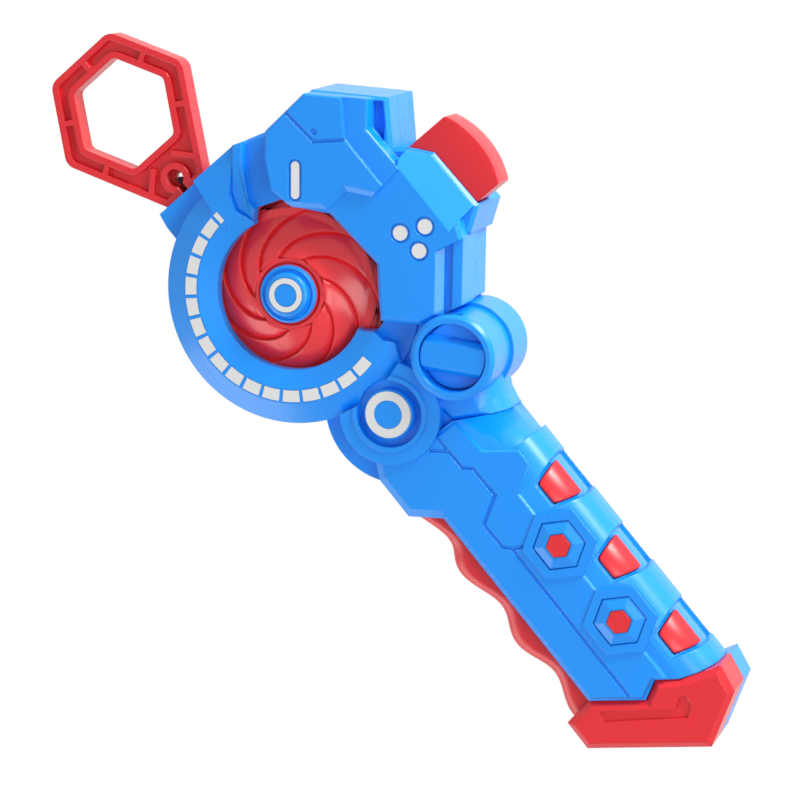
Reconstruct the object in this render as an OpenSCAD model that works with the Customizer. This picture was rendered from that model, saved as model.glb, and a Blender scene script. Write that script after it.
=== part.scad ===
// Hand-held launcher for spinning tops.
// +Z is the face of the dial, +Y the way the cord is pulled, and the origin lies on the
// spindle axis, in the mouth of the drive socket at the back.

/* [Head] */
// Radius of the round dial
dial_r = 29.4; // [27:0.1:31]
// Width of the sloping lip between the dial's crest and its window
lip_w = 4.1; // [3:0.1:4.5]
// Height of the joint between the front and back shells
part_z = 12.6; // [12.4:0.1:13]
// Height of the plain front face that the raised panels stand on
chassis_z = 19.5; // [19.2:0.1:20]
// Height of the crest of the dial
crest_z = 22.9; // [22:0.1:23.5]
// Height of the armour panel on the right
armour_z = 24.2; // [23.5:0.1:24.8]
// Thickness of the raised cover at the top
cover_t = 1.3; // [1:0.1:2]
// Thickness of the moulded side walls
wall = 2; // [1.6:0.1:2.2]
// Thickness of the back wall
back_wall = 1.6; // [1.2:0.1:1.6]

/* [Handle] */
// Length of the handle
handle_l = 77.5; // [74:0.5:82]
// Width of the handle over the ribs of its spine
handle_w = 27.7; // [26:0.1:30]
// Height of the handle's plain front face
handle_z = 21; // [20.5:0.1:21.5]
// Height that the front panel stands proud
panel_t = 0.8; // [0.5:0.1:1]
// Distance from one finger groove to the next
finger_pitch = 19.5; // [18:0.1:21]
// Distance from one spine insert to the next
rib_pitch = 20.9; // [20:0.1:21.5]
// Radius of the raised frame round each hexagon badge
badge_r = 8.5; // [8:0.1:9]

/* [Barrel and boss] */
// Distance of the barrel's axis to the right of the spindle
barrel_x = 21.5; // [21:0.1:22]
// Distance of the barrel's axis below the dial's edge
barrel_drop = 4.7; // [4.4:0.1:5.2]
// Radius of the barrel
barrel_r = 9.5; // [9:0.1:10]
// Height of the barrel's rim
barrel_z = 26.5; // [26:0.1:27]
// Distance of the boss's axis below the dial's edge
boss_drop = 5.2; // [5:0.1:5.4]
// Radius of the boss's flange
boss_r = 11.6; // [11:0.1:12]

/* [Pull ring] */
// Radius of the pull ring's hexagon, to its corners
pull_r = 18.6; // [17:0.1:20]
// Width of the pull ring's band
band_w = 5; // [4:0.1:5.5]
// Thickness of the pull ring
pull_t = 5; // [4:0.1:5.4]
// Radius of the pull cord
cord_r = 0.5; // [0.4:0.05:0.6]

/* [Mechanism] */
// Radius of the mouth that the top's drive knob goes into
socket_r = 9.3; // [8.8:0.1:9.6]
// Radius of the spindle
spindle_r = 2; // [1.5:0.1:2.2]
// Gap between the turbine's rim and the dial's wall
turbine_gap = 4.9; // [4.8:0.1:5.4]
// Number of vanes on the turbine disc
vanes = 9; // [6:1:12]
// Radius of the reel's flanges
reel_r = 15; // [14:0.1:15.5]
// Radius at which the outer turn of cord leaves the reel
wind_r = 7.5; // [6.5:0.1:7.8]
// Travel of the release button
button_travel = 3; // [2:0.1:3.5]
// Radial running clearance of a shaft in its bush
shaft_gap = 0.06; // [0.02:0.01:0.1]
// Gap between parts that move past each other
slide_gap = 0.3; // [0.3:0.05:0.35]
// Gap between parts that are assembled together
fit_gap = 0.1; // [0.05:0.01:0.15]

/* [Hidden] */
$fn = 96;
over = 0.5;
smooth_fn = 48;

blue = [0.10, 0.55, 0.98];
red = [0.92, 0.18, 0.22];
white = [0.9, 0.91, 0.9];
steel = [0.75, 0.76, 0.78];
brass_tone = [0.8, 0.65, 0.3];
grey = [0.35, 0.37, 0.4];

// Outlines of the head, as shares of the dial's radius
armour_shares = [[0.449, -0.602], [0.673, -0.816], [1.01, -0.901], [1.347, -0.524],
    [1.395, -0.405], [1.527, -0.384], [1.52, 0.109], [1.408, 0.248], [1.299, 0.218],
    [1.293, 0.544], [1.442, 0.714], [1.102, 1.048], [0.653, 1.02], [0.554, 0.884],
    [0.432, 0.67], [0.473, 0.469], [0.66, 0.252], [0.704, -0.262], [0.537, -0.473]];
block_shares = [[0.34, -0.68], [0.673, -0.85], [0.985, -0.885], [1.318, -0.51], [1.367, -0.524],
    [1.554, -0.405], [1.537, 0.109], [1.418, 0.252], [1.313, 0.337], [1.531, 0.639],
    [1.105, 1.061], [0.656, 1.041], [0.364, 1.133], [-0.068, 1.133], [-0.068, 0.68]];
cover_shares = [[0.473, 0.469], [0.673, 0.279], [0.884, 0.286], [1.014, 0.133],
    [1.303, 0.163], [1.293, 0.544], [1.442, 0.714], [1.102, 1.048], [0.69, 1.027],
    [0.554, 0.884], [0.432, 0.67]];
window_shares = [[0, 0], [0.259, -0.561], [0.344, -0.629], [0.449, -0.602],
    [0.537, -0.473], [0.704, -0.262], [0.66, 0.252], [0.473, 0.469], [0.381, 0.592],
    [0.197, 0.66], [0.129, 0.599]];
ledge_shares = [[0.129, 0.871], [0.082, 0.741], [0.129, 0.605], [0.197, 0.66],
    [0.201, 0.741], [0.337, 0.963], [0.452, 1.102], [0.367, 1.133]];
open_shares = [[0, 0], [0.259, -0.561], [0.344, -0.629], [0.354, -0.714], [0.408, -0.793],
    [0.344, -0.905], [0.42, -1.2], [1.5, -1.2], [1.5, 1.3], [0.513, 1.3], [0.129, 0.871],
    [0.082, 0.741], [0.129, 0.599]];
flare_shares = [[-0.068, 0.68], [0.129, 0.871], [0.367, 1.133], [-0.068, 1.133]];
channel_shares = [[1.296, 0.415], [1.381, 0.497], [1.483, 0.643], [1.429, 0.694],
    [1.296, 0.544]];
neck_shares = [[0.748, -1.612], [0.806, -1.503], [0.884, -1.293], [0.748, -0.952], [0.272, -0.952]];
web_shares = [[0.75, -1.2], [0.8, -0.8], [0.3, -0.75], [0.2, -1]];
web_corner_share = 0.15;
neck_seam_share = 0.9;
// Reach of the neck's rounded side past the spine's centre, and its distance from the seam
neck_flare_shares = [[1, -0.3], [1.03, 0.04], [1.1, 0.14], [1.28, 0.25], [1.62, 0.37], [2.3, 0.6],
    [2.3, 1.2]];
cover_edge_shares = [[0.273, 0.659], [0.673, 0.279], [0.884, 0.286], [1.144, -0.02], [1.9, -0.02],
    [1.9, 1.5], [0.1, 1.5]];
cover_bevel_shares = [[1.128, 0.05], [1.4, 0.05], [1.6, 0.8], [1.5, 1], [1.32, 0.86], [1.128, 0.592]];
neck_core_shares = [[0.38, -0.88], [0.44, -1.42], [0.62, -1.52], [0.7, -1.3], [0.66, -0.88]];
outlet_shares = [[-0.517, 0.816], [-0.034, 0.816], [-0.034, 1.133], [-0.497, 1.133],
    [-0.517, 1.02]];
// Outlines of the handle, as shares of its width and length
handle_shares = [[0, 0.139], [0.379, 0.044], [0.542, 0.074], [0.704, 0.035],
    [0.866, 0.014], [1, 0], [1, 0.915], [0.56, 1.001], [-0.235, 1.001], [-0.235, 0.868],
    [0, 0.796]];
panel_shares = [[0.022, 0.142], [0.375, 0.053], [0.534, 0.08], [0.635, 0.059],
    [0.635, 0.719], [0.859, 0.765], [0.859, 0.819], [0.621, 0.881], [0.592, 0.99],
    [0.095, 1], [0.045, 1.012], [-0.05, 1.036], [-0.145, 1.047], [-0.225, 0.999],
    [-0.225, 0.87], [0.022, 0.794]];
// Corner of the handle that runs up under the boss's flange, and the edges of its lobe
corner_shares = [[-0.235, 0.995], [0.095, 0.995], [0.095, 1.001], [0.04, 1.014],
    [-0.054, 1.04], [-0.155, 1.053], [-0.235, 1.001]];
lobe_shares = [[-0.155, 1.053], [-0.235, 1.001], [-0.235, 0.868], [0, 0.796]];
// Ends and seat of the finger grip
grip_shares = [[-0.325, 0.1277], [-0.0018, 0.1419], [-0.0018, 0.7902], [-0.325, 0.8897]];
groove_shares = [[0.394, 0.982], [0.401, 0.88], [0.466, 0.858], [0.473, 0.761],
    [0.245, 0.715], [0.249, 0.634], [0.303, 0.612], [0.296, 0.06]];
short_groove_shares = [[0.285, 0.973], [0.394, 0.939]];
link_groove_shares = [[0.303, 0.612], [0.383, 0.599]];
butt_shares = [[-0.264, 0.126], [-0.267, 0.034], [0.56, -0.172], [0.996, -0.086],
    [1.04, -0.005], [0.866, 0.012], [0.704, 0.033], [0.542, 0.072], [0.379, 0.042],
    [0, 0.137]];
butt_core_shares = [[-0.18, 0.1], [-0.18, 0.05], [0.55, -0.13], [0.92, -0.06], [0.93, -0.03],
    [0.7, 0], [0.54, 0.03], [0.38, 0], [0, 0.09]];
badge_at_shares = [[0.635, 0.538], [0.635, 0.2658]];
mark_shares = [[0.022, 0.097], [-0.007, 0.068], [0.567, -0.065], [0.661, -0.043],
    [0.668, -0.012], [0.617, -0.006], [0.531, -0.027]];

// Places and levels of the handle
handle_x = -5;
handle_drop = 15.1;
handle_top = -dial_r - handle_drop;
handle_foot = handle_top - handle_l;
seam_y = handle_top + fit_gap * 2;
panel_z = handle_z + panel_t;
frame_t = 0.5;
spine_share = 0.5957;
spine_x = handle_x + handle_w * spine_share;
rib_h = 1.2;
rib_start = 12.1;
spine_w = handle_x + handle_w - spine_x - rib_h;
spine_power = 0.75;
spine_steps = 16;
first_insert_drop = 25.3;
first_insert_y = handle_top - first_insert_drop;
last_insert_h = 9.5;
insert_count = floor((first_insert_y - handle_foot - last_insert_h) / rib_pitch) + 1;
insert_l = 8.4;
insert_top_l = 5.6;
insert_reach = 4.6;
insert_t = 2.4;
insert_rise = 0.7;
insert_lift = 1.2;
insert_low_z = part_z + insert_lift;
valley_gap = 0.75;
valley_d = 0.3;
valley_low_z = 3.5;
badge_in_r = 6.1;
stud_hex_r = 2.8;
groove_w = 0.7;
groove_d = 0.5;
badge_rise = 0.3;
badge_slope_w = 2.1;
badge_h = 1.1;
badge_top_z = panel_z + badge_h;
stud_seat_h = 0.1;
stud_low_z = panel_z + stud_seat_h;
stud_h = 1.3;
stud_z = panel_z + stud_h;
lobe_bevel_w = 2;
lobe_bevel_d = 1.8;
grip_w = 5.8;
grip_wave = 1.4;
grip_crest_drop = 28.1;
grip_crest_y = handle_top - grip_crest_drop;
grip_low_z = 3.5;
grip_high_z = 17.5;
grip_round = 2.4;
grip_round_steps = 4;
grip_steps = 44;
butt_part_z = 9.5;
butt_round = 1.4;
mark_d = 0.7;
tongue_x = 1;
tongue_gap = 0.9;
tongue_w = handle_x + handle_w - rib_h - insert_reach - tongue_gap - tongue_x;
tongue_l = 12;
tongue_low_z = 2.6;
tongue_t = 8;
tongue_screw_in = 7;
tongue_screw_drop = 8;
tongue_screw = [tongue_x + tongue_screw_in, handle_top - tongue_screw_drop];
butt_tongue_in = 1;
butt_screw_gap = 2.5;

// Places and levels of the head
head = [dial_r, dial_r];
rim_drop = 2.7;
rim_z = crest_z - rim_drop;
lip_drop = 1.5;
lip_z = crest_z - lip_drop;
crest_slope_w = 4.9;
crest_out_r = dial_r - crest_slope_w;
crest_w = 3.2;
crest_in_r = crest_out_r - crest_w;
window_r = crest_in_r - lip_w;
flare_crest_w = 1;
dash_edge = 0.3;
dash_in_r = crest_in_r + dash_edge;
dash_out_r = crest_out_r - dash_edge;
dash_count = 17;
dash_pitch = 11.68;
dash_space = 2.05;
dash_first = 85.72;
dash_cut = 6.9;
dash_proud = 0.1;
dash_t = 0.7;
ledge_h = 2.1;
ledge_z = chassis_z + ledge_h;
web_drop = 0.4;
web_z = chassis_z - web_drop;
recess_floor_t = 1;
channel_d = 2.5;
channel_z = chassis_z - channel_d;
outlet_low_z = 5;
outlet_high_z = 16.2;
cover_z = armour_z + cover_t;
cover_slope_w = 1.4;
cover_seat_t = 0.2;
small_chamfer = 0.8;
back_chamfer = 1.6;
armour_roof_t = 4;
slope_in = 6.4;
slope_drop = 4.7;
slope_out = 7.2;
slot_at_shares = [[0.562, 0.521], [0.704, 0.684]];
slot_r = 0.95;
slot_rim = 0.5;
dot_at_shares = [[1, -0.2], [1.18, -0.282], [1.027, -0.391]];
dot_r = 1.65;
dot_rim = 0.55;
inlay_d = 0.6;
// Step along the armour's lower right edge: a strip, a recess and a bevel
step_shares = [[1.01, -0.901], [1.347, -0.524]];
step_l = 14.6;
step_top_l = 11.6;
step_strip_w = 2.2;
step_recess_w = 4;
step_bevel_w = 5.9;
step_drop = 1;
step_z = armour_z - step_drop;
step_recess_drop = 2.2;
step_recess_z = armour_z - step_recess_drop;
cover_groove_shares = [[0.901, 1.06], [0.935, 0.728], [1.119, 0.595]];
dimple_shares = [0.983, 0.782];
dimple_r = 0.7;

// Barrel, boss and knuckle
barrel_at = [barrel_x, -dial_r - barrel_drop];
barrel_skirt_w = 0.8;
barrel_back_r = barrel_r + barrel_skirt_w;
barrel_rim_w = 1.9;
knob_well_r = barrel_r - barrel_rim_w;
knob_well_d = 5;
knob_well_z = barrel_z - knob_well_d;
knob_floor_t = 1.5;
knob_r = knob_well_r - slide_gap;
knob_base_t = 1;
knob_bar_w = 7.6;
knob_bevel_w = 1.1;
knob_bevel_d = 1.2;
knob_bar_drop = 0.6;
knob_bar_z = barrel_z - knob_bar_drop;
knob_stem_share = 0.395;
knob_stem_r = knob_well_r * knob_stem_share;
knob_stem_lift = 1;
knob_turn = -47;
cam_t = 3;
cam_lobe_share = 0.21;
cam_lobe = knob_well_r * cam_lobe_share;
cam_gap = 0.6;
cam_r = knob_well_r - cam_lobe - cam_gap;
boss_x = 0.9;
boss_y = dial_r + boss_drop;
boss_at = [boss_x, -boss_y];
boss_h = 3.1;
boss_z = chassis_z + boss_h;
boss_well_r = 7.5;
boss_ridge_w = 1.1;
boss_ridge_t = 0.4;
boss_well_d = 2.2;
boss_stud_r = 5.6;
boss_stud_h = 0.9;
boss_stud_z = boss_z + boss_stud_h;
boss_ring_in = 3.2;
boss_ring_out = 5.2;
knuckle_r = 17;
knuckle_z = 16;

// Levels of the mechanism, from the back
slider_low_z = back_wall + slide_gap;
slider_t = 1.2;
cup_floor_z = slider_low_z + slider_t + slide_gap;
cup_floor_t = 1.2;
cup_wall_t = 1.2;
cup_gap = 4.8;
cup_r = dial_r - wall - cup_gap;
cup_h = 5;
socket_low_z = cup_floor_z;
socket_h = 5;
socket_floor_t = 1.9;
socket_teeth = 18;
tooth_root_in = 0.6;
tooth_root_r = socket_r - tooth_root_in;
tooth_h = 1;
tooth_tip_r = tooth_root_r - tooth_h;
tooth_w = 1.2;
socket_wall = 1.8;
socket_out_r = tooth_root_r + socket_wall;
bush_t = 1.5;
bush_h = 3.4;
reel_low_z = cup_floor_z + cup_h + slide_gap;
reel_h = 3.8;
flange_t = 0.8;
core_r = 3.6;
skirt_in = 0.6;
skirt_r = reel_r - skirt_in;
skirt_t = 0.8;
skirt_h = 3.4;
spring_in_gap = 1;
spring_in_r = skirt_r + spring_in_gap;
spring_out_gap = 0.6;
spring_out_r = cup_r - cup_wall_t - spring_out_gap;
spring_pitch = 0.9;
spring_steps = 20;
spring_t = 0.4;
spring_low_z = cup_floor_z + cup_floor_t + slide_gap;
spring_h = 3.1;
ratchet_low_z = reel_low_z + reel_h + slide_gap;
ratchet_t = 1.8;
ratchet_r = 7;
ratchet_teeth = 12;
ratchet_tooth = 1.3;
ratchet_flank_share = 0.12;
pawl_l = 5;
pawl_w = 2;
pawl_at_r = 10.6;
pawl_turn = 118;
plate_gap = 0.4;
plate_z = ratchet_low_z + ratchet_t + plate_gap;
plate_t = 1.3;
plate_r = cup_r;
front_bush_r = 3.6;
front_bush_h = 1.8;
post_r = 1.9;
post_bite = 0.3;
post_at_r = dial_r - wall - post_r + post_bite;
post_angles = [60, 180, 300];
plate_hole_r = 0.9;
arm_w = 3;
turbine_r = dial_r - wall - turbine_gap;
turbine_low_z = plate_z + plate_t + slide_gap;
turbine_rim_t = 0.9;
turbine_skin = 1.4;
turbine_flat_r = 10.2;
turbine_drop = 0.5;
turbine_top_z = crest_z - turbine_drop;
turbine_shoulder_r = window_r - slide_gap;
turbine_hub_r = 4.4;
vane_h = 0.7;
vane_sweep = 78;
vane_turn = 36;
vane_steps = 10;
vane_root_in = 1;
vane_in_r = turbine_flat_r - vane_root_in;
vane_end_in = 0.4;
vane_out_r = turbine_r - vane_end_in;
vane_bend = 0.8;
hub_r = 6.85;
hub_h = 2.4;
hub_mid_r = 5;
hub_groove_w = 0.8;
hub_groove_d = 0.9;
hub_ring_in = 2.6;
hub_ring_out = 3.8;
spindle_low_z = socket_low_z + socket_h;
spindle_proud = 1;
spindle_high_z = turbine_top_z + spindle_proud;

// Pull ring and cord
ring_gap = slide_gap;
cord_x = -wind_r;
cord_z = reel_low_z + reel_h / 2;
outlet_share = 1.133;
outlet_y = dial_r * outlet_share;
ring_base_y = outlet_y + ring_gap;
ring_depth_share = 1.22;
ring_depth = pull_r * ring_depth_share;
ring_at = [cord_x, ring_base_y + ring_depth];
ring_low_z = cord_z - pull_t / 2;
ring_high_z = cord_z + pull_t / 2;
ring_rim_w = 1.5;
ring_web_t = 1.8;
ring_rib_w = 1.3;
ring_base_w = 11.4;
ring_corner_r = 3.2;
ring_hole_corner_r = 1.8;
eye_in = 4;
eye_y = ring_base_y + eye_in;
eye_r = 3.5;
eye_hole_r = 2;
eye_slot_w = 2 * cord_r + 2 * slide_gap;
sight_r = 0.9;
bridge_in = 5.4;
bridge_y = ring_base_y + bridge_in;
bridge_x = 6.4;
guide_bore_r = cord_r + slide_gap + fit_gap;
guide_wall = 0.8;
guide_r = guide_bore_r + guide_wall;
guide_l = 7;
knot_r = 1;
knot_in = 0.9;
knot_y = eye_y - knot_in;
cord_start_y = 4.4;

// Release button, its slider and spring
button_high_z = 18;
button_low_z = 9.6;
button_top_y = dial_r * 0.265;
button_bottom_y = -dial_r * 0.374;
button_in_x = dial_r * 1.327;
button_out_x = dial_r * 1.844;
button_arc_r = 20.5;
button_round = 1.2;
pocket_in_x = dial_r * 1.05;
pocket_l = 26;
catch_hole_r = 10.2;
catch_bite = 1.2;
slider_ring_w = 3;
slider_arm_w = 8;
upstand_t = 1.4;
upstand_h = 11;
upstand_w = 8;
spring_post_gap = 1.6;
spring_post_x = cup_r + spring_post_gap;
spring_post_t = 1.6;
spring_post_w = 12;
spring_post_h = 9;
coil_r = 2;
coil_wire_r = 0.3;
coil_turns = 7;
coil_z = 8;
coil_steps = 8;
coil_sides = 6;

// Screws
screw_head_r = 1.9;
screw_head_t = 1.5;
screw_head_z = 0.9;
screw_r = 1.2;
screw_hole_r = screw_r + fit_gap;
screw_boss_r = 2.7;
screw_tip_z = 16.6;
front_boss_r = 2.6;
head_screw_shares = [[-0.485, -0.724], [-0.485, 0.724], [1.12, 0.83], [1.02, -0.69]];
handle_screw_shares = [[0.36, 0.74], [0.12, 0.42]];
butt_screw_share = 0.5;
plate_screw_head_r = 1.5;
plate_screw_head_t = 1;
plate_screw_l = 5;

// Points of an outline whose shares are placed from one corner over a size
function place(shares, at, size) = [for (s = shares) [at[0] + s[0] * size[0], at[1] + s[1] * size[1]]];
function unit(v) = v / norm(v);
function inner_normal(a, b) = let (u = unit(b - a)) [-u[1], u[0]];
// The same anticlockwise outline, moved inwards
function inset(p, d) = let (n = len(p)) [for (i = [0 : n - 1])
    let (m = inner_normal(p[(i + n - 1) % n], p[i]), k = inner_normal(p[i], p[(i + 1) % n]))
    p[i] + d * (m + k) / (1 + m * k)];
function polar(r, a) = [r * cos(a), r * sin(a)];
// Triangles that fill an anticlockwise outline, cut off ear by ear
function turn_at(a, b, c) = (b[0] - a[0]) * (c[1] - a[1]) - (b[1] - a[1]) * (c[0] - a[0]);
function in_ear(q, a, b, c) = turn_at(a, b, q) >= 0 && turn_at(b, c, q) >= 0 && turn_at(c, a, q) >= 0;
function is_ear(p, left, i) =
    let (n = len(left), a = left[(i + n - 1) % n], b = left[i], c = left[(i + 1) % n])
    turn_at(p[a], p[b], p[c]) > 0
        && len([for (k = left) if (k != a && k != b && k != c && in_ear(p[k], p[a], p[b], p[c])) k]) == 0;
function ears(p, left) = len(left) == 3 ? [left] : let (n = len(left),
    i = [for (i = [0 : n - 1]) if (is_ear(p, left, i)) i][0])
    concat([[left[(i + n - 1) % n], left[i], left[(i + 1) % n]]],
        ears(p, [for (k = [0 : n - 1]) if (k != i) left[k]]));

armour_points = place(armour_shares, [0, 0], head);
block_points = place(block_shares, [0, 0], head);
cover_points = place(cover_shares, [0, 0], head);
cover_edge_points = place(cover_edge_shares, [0, 0], head);
window_points = place(window_shares, [0, 0], head);
ledge_points = place(ledge_shares, [0, 0], head);
flare_points = place(flare_shares, [0, 0], head);
channel_points = place(channel_shares, [0, 0], head);
neck_core_points = place(neck_core_shares, [0, 0], head);
step_points = place(step_shares, [0, 0], head);
outlet_points = place(outlet_shares, [0, 0], head);
dot_points = place(dot_at_shares, [0, 0], head);
slot_points = place(slot_at_shares, [0, 0], head);
dimple_at = place([dimple_shares], [0, 0], head)[0];
head_screws = place(head_screw_shares, [0, 0], head);
// Points of the handle, and of the neck and web that meet it
grip_size = [handle_w, handle_l];
grip_at = [handle_x, handle_foot];
handle_points = place(handle_shares, grip_at, grip_size);
panel_points = place(panel_shares, grip_at, grip_size);
corner_points = place(corner_shares, grip_at, grip_size);
lobe_points = place(lobe_shares, grip_at, grip_size);
front_points = concat([for (i = [0 : 7]) handle_points[i]], [for (i = [2 : 6]) corner_points[i]],
    [handle_points[9], handle_points[10]]);
grip_bounds = place(grip_shares, grip_at, grip_size);
butt_points = place(butt_shares, grip_at, grip_size);
butt_core_points = place(butt_core_shares, grip_at, grip_size);
mark_points = place(mark_shares, grip_at, grip_size);
badge_at = place(badge_at_shares, grip_at, grip_size);
butt_screw = [handle_x + butt_screw_share * handle_w,
    handle_foot + butt_tongue_in + tongue_l + butt_screw_gap];
handle_screw_points = concat(place(handle_screw_shares, grip_at, grip_size), [butt_screw]);
neck_seam = handle_points[6] - handle_points[7];
neck_corner = handle_points[7] + neck_seam * neck_seam_share;
neck_points = concat([handle_points[7] + [0, fit_gap], neck_corner + [0, fit_gap]],
    place(neck_shares, [0, 0], head));
web_points = concat([[web_corner_share * dial_r, seam_y], [handle_points[7][0], seam_y]],
    place(web_shares, [0, 0], head));

// A plate with chamfers along its lower and upper edges
module slab(points, z0, z1, low = 0, high = 0) {
    bottom = low > 0 ? [[low, z0], [0, z0 + low]] : [[0, z0]];
    top = high > 0 ? [[0, z1 - high], [high, z1]] : [[0, z1]];
    loft(points, concat(bottom, top));
}

// An outline carried up through levels, each with its own inset and height
module loft(points, levels) {
    stack([for (v = levels) [v[0] > 0 ? inset(points, v[0]) : points, v[1]]], points);
}

// A solid through rings of equal length, each with its own height, capped as one outline
module stack(rings, outline, split = false) {
    n = len(outline);
    m = len(rings);
    fill = ears(outline, [for (i = [0 : n - 1]) i]);
    polyhedron(
        points = [for (r = rings) for (p = r[0]) [p[0], p[1], r[1]]],
        faces = concat(fill,
            [for (j = [0 : m - 2]) for (i = [0 : n - 1])
                let (a = j * n + i, b = a + n, d = j * n + (i + 1) % n, c = d + n)
                each split && i < n - 3 ? [[a, b, c], [a, c, d]] : [[a, b, c, d]]],
            [for (f = fill) [for (k = [2, 1, 0]) (m - 1) * n + f[k]]]));
}

module prism(points, z0, z1) {
    translate([0, 0, z0]) linear_extrude(z1 - z0) polygon(points);
}

module disc(r, z0, z1) {
    translate([0, 0, z0]) cylinder(r = r, h = z1 - z0);
}

module tube(r_in, r_out, z0, z1) {
    translate([0, 0, z0]) linear_extrude(z1 - z0) difference() {
        circle(r_out);
        circle(r_in);
    }
}

module groove(points, z) {
    for (i = [0 : len(points) - 2])
        let (a = points[i], b = points[i + 1], v = b - a)
            translate([a[0], a[1], z - groove_d]) rotate(atan2(v[1], v[0]))
                translate([-groove_w / 2, -groove_w / 2, 0])
                    cube([norm(v) + groove_w, groove_w, groove_d + over]);
}

// Sets a profile of distance inwards and height along an edge of an anticlockwise outline
module along_edge(a, b, before, past) {
    translate([a[0], a[1], 0]) rotate(atan2(b[1] - a[1], b[0] - a[0])) rotate([90, 0, 90])
        translate([0, 0, -before]) linear_extrude(norm(b - a) + before + past) children();
}

module bevel_cut(a, b, width, depth, z, before, past) {
    slope = depth / width;
    along_edge(a, b, before, past)
        polygon([[-over, z - depth - over * slope], [width + over / slope, z + over], [-over, z + over]]);
}

module at_points(points) {
    for (p = points) translate([p[0], p[1], 0]) children();
}

// Front half of the head

module dial_body() {
    difference() {
        rotate_extrude() polygon([[0, part_z], [dial_r, part_z], [dial_r, rim_z], [crest_out_r, crest_z],
            [crest_in_r, crest_z], [window_r, lip_z], [0, lip_z]]);
        prism(place(open_shares, [0, 0], head), chassis_z, barrel_z);
    }
}

// The dial's outer slope runs on, straight, to the cord outlet
module flare_body() {
    intersection() {
        prism(flare_points, part_z, crest_z);
        rotate([90, 0, 90]) translate([0, 0, -dial_r]) linear_extrude(2 * dial_r)
            polygon([[0, 0], [outlet_y, 0], [outlet_y, rim_z], [crest_out_r + flare_crest_w, crest_z],
                [0, crest_z]]);
    }
}

module head_cavity() {
    disc(dial_r - wall, part_z - over, chassis_z - recess_floor_t);
    prism(inset(block_points, wall), part_z - over, channel_z - recess_floor_t);
    prism(inset(armour_points, wall), part_z - over, armour_z - armour_roof_t);
    prism(neck_core_points, part_z - over, chassis_z - wall);
    translate(barrel_at) disc(knob_well_r, part_z - over, knob_well_z - knob_floor_t);
}

module button_pocket() {
    translate([pocket_in_x, button_bottom_y - slide_gap, button_low_z - slide_gap])
        cube([pocket_l, button_top_y - button_bottom_y + 2 * slide_gap,
            button_high_z - button_low_z + 2 * slide_gap]);
}

// The slope from the armour panel down to the button
module button_slope() {
    low_z = armour_z - slope_drop;
    translate([button_in_x, button_top_y + small_chamfer, 0]) rotate([90, 0, 0])
        linear_extrude(button_top_y - button_bottom_y + small_chamfer * 3)
            polygon([[-small_chamfer, armour_z], [slope_in, low_z], [slope_out, low_z],
                [slope_out, armour_z + over], [-small_chamfer, armour_z + over]]);
}

module knuckle(z0, z1, chamfer) {
    intersection() {
        translate(boss_at) {
            translate([0, 0, z0]) cylinder(r1 = knuckle_r - chamfer, r2 = knuckle_r, h = chamfer);
            disc(knuckle_r, z0 + chamfer, z1);
        }
        translate([-dial_r, seam_y, 0]) cube([2 * dial_r, dial_r, z1 + over]);
    }
}

// The boss's flange stops at the dial's outer slope
module boss_body() {
    difference() {
        translate(boss_at) {
            disc(boss_r, part_z, boss_z);
            disc(boss_well_r + boss_ridge_w, boss_z - over, boss_z + boss_ridge_t);
        }
        disc(dial_r - over, rim_z - over, boss_z + over);
    }
}

module side_step() {
    a = step_points[0];
    b = step_points[1];
    lean = over * (step_l - step_top_l) / step_bevel_w;
    intersection() {
        along_edge(a, b, step_bevel_w, over) polygon([[-wall, step_z], [step_strip_w, step_z],
            [step_strip_w, step_recess_z], [step_recess_w, step_recess_z], [step_recess_w, step_z],
            [step_bevel_w, armour_z], [step_bevel_w, cover_z], [-wall, cover_z]]);
        translate([a[0], a[1], 0]) rotate(atan2(b[1] - a[1], b[0] - a[0]))
            prism([[-step_l, -over], [step_l + lean, -over], [step_top_l - lean, step_bevel_w + over],
                [-step_l, step_bevel_w + over]], channel_z, barrel_z);
    }
}

module front_shell() {
    color(blue) difference() {
        union() {
            slab(block_points, part_z, chassis_z, 0, small_chamfer);
            dial_body();
            flare_body();
            slab(ledge_points, part_z, ledge_z, 0, small_chamfer / 2);
            slab(armour_points, part_z, armour_z, 0, small_chamfer);
            prism(outlet_points, part_z, outlet_high_z);
            intersection() {
                slab(neck_points, part_z, chassis_z + small_chamfer, 0, small_chamfer);
                neck_side();
            }
            prism(web_points, part_z, web_z);
            boss_body();
            knuckle(part_z, knuckle_z, small_chamfer / 4);
            translate(barrel_at) {
                disc(barrel_r, part_z, barrel_z - small_chamfer);
                translate([0, 0, barrel_z - small_chamfer])
                    cylinder(r1 = barrel_r, r2 = barrel_r - small_chamfer, h = small_chamfer);
            }
            at_points(head_screws) disc(front_boss_r, part_z, screw_tip_z + over);
        }
        difference() {
            head_cavity();
            at_points(head_screws) disc(front_boss_r, part_z - over, armour_z);
        }
        disc(window_r, part_z - over, crest_z + over);
        prism(window_points, part_z - over, barrel_z);
        prism(channel_points, channel_z, armour_z);
        button_pocket();
        button_slope();
        translate(barrel_at) {
            disc(knob_well_r, knob_well_z, barrel_z + over);
            disc(knob_stem_r + shaft_gap, part_z, barrel_z);
        }
        translate(boss_at) disc(boss_well_r, boss_z - boss_well_d, boss_z + boss_ridge_t + over);
        at_points(dot_points) disc(dot_r + dot_rim, armour_z - inlay_d, armour_z + over);
        side_step();
        for (k = [0 : dash_count - 1]) dash(k, fit_gap / 2, 0);
        at_points(head_screws) disc(screw_r + fit_gap / 4, part_z - over, screw_tip_z);
        // The handle's face passes under the boss's flange
        translate([-dial_r, seam_y - dial_r, part_z - over])
            cube([dial_r * 1.3, dial_r, panel_z + fit_gap - part_z + over]);
        prism(inset(corner_points, -fit_gap * 2), part_z - over, panel_z + fit_gap);
    }
}

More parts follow.
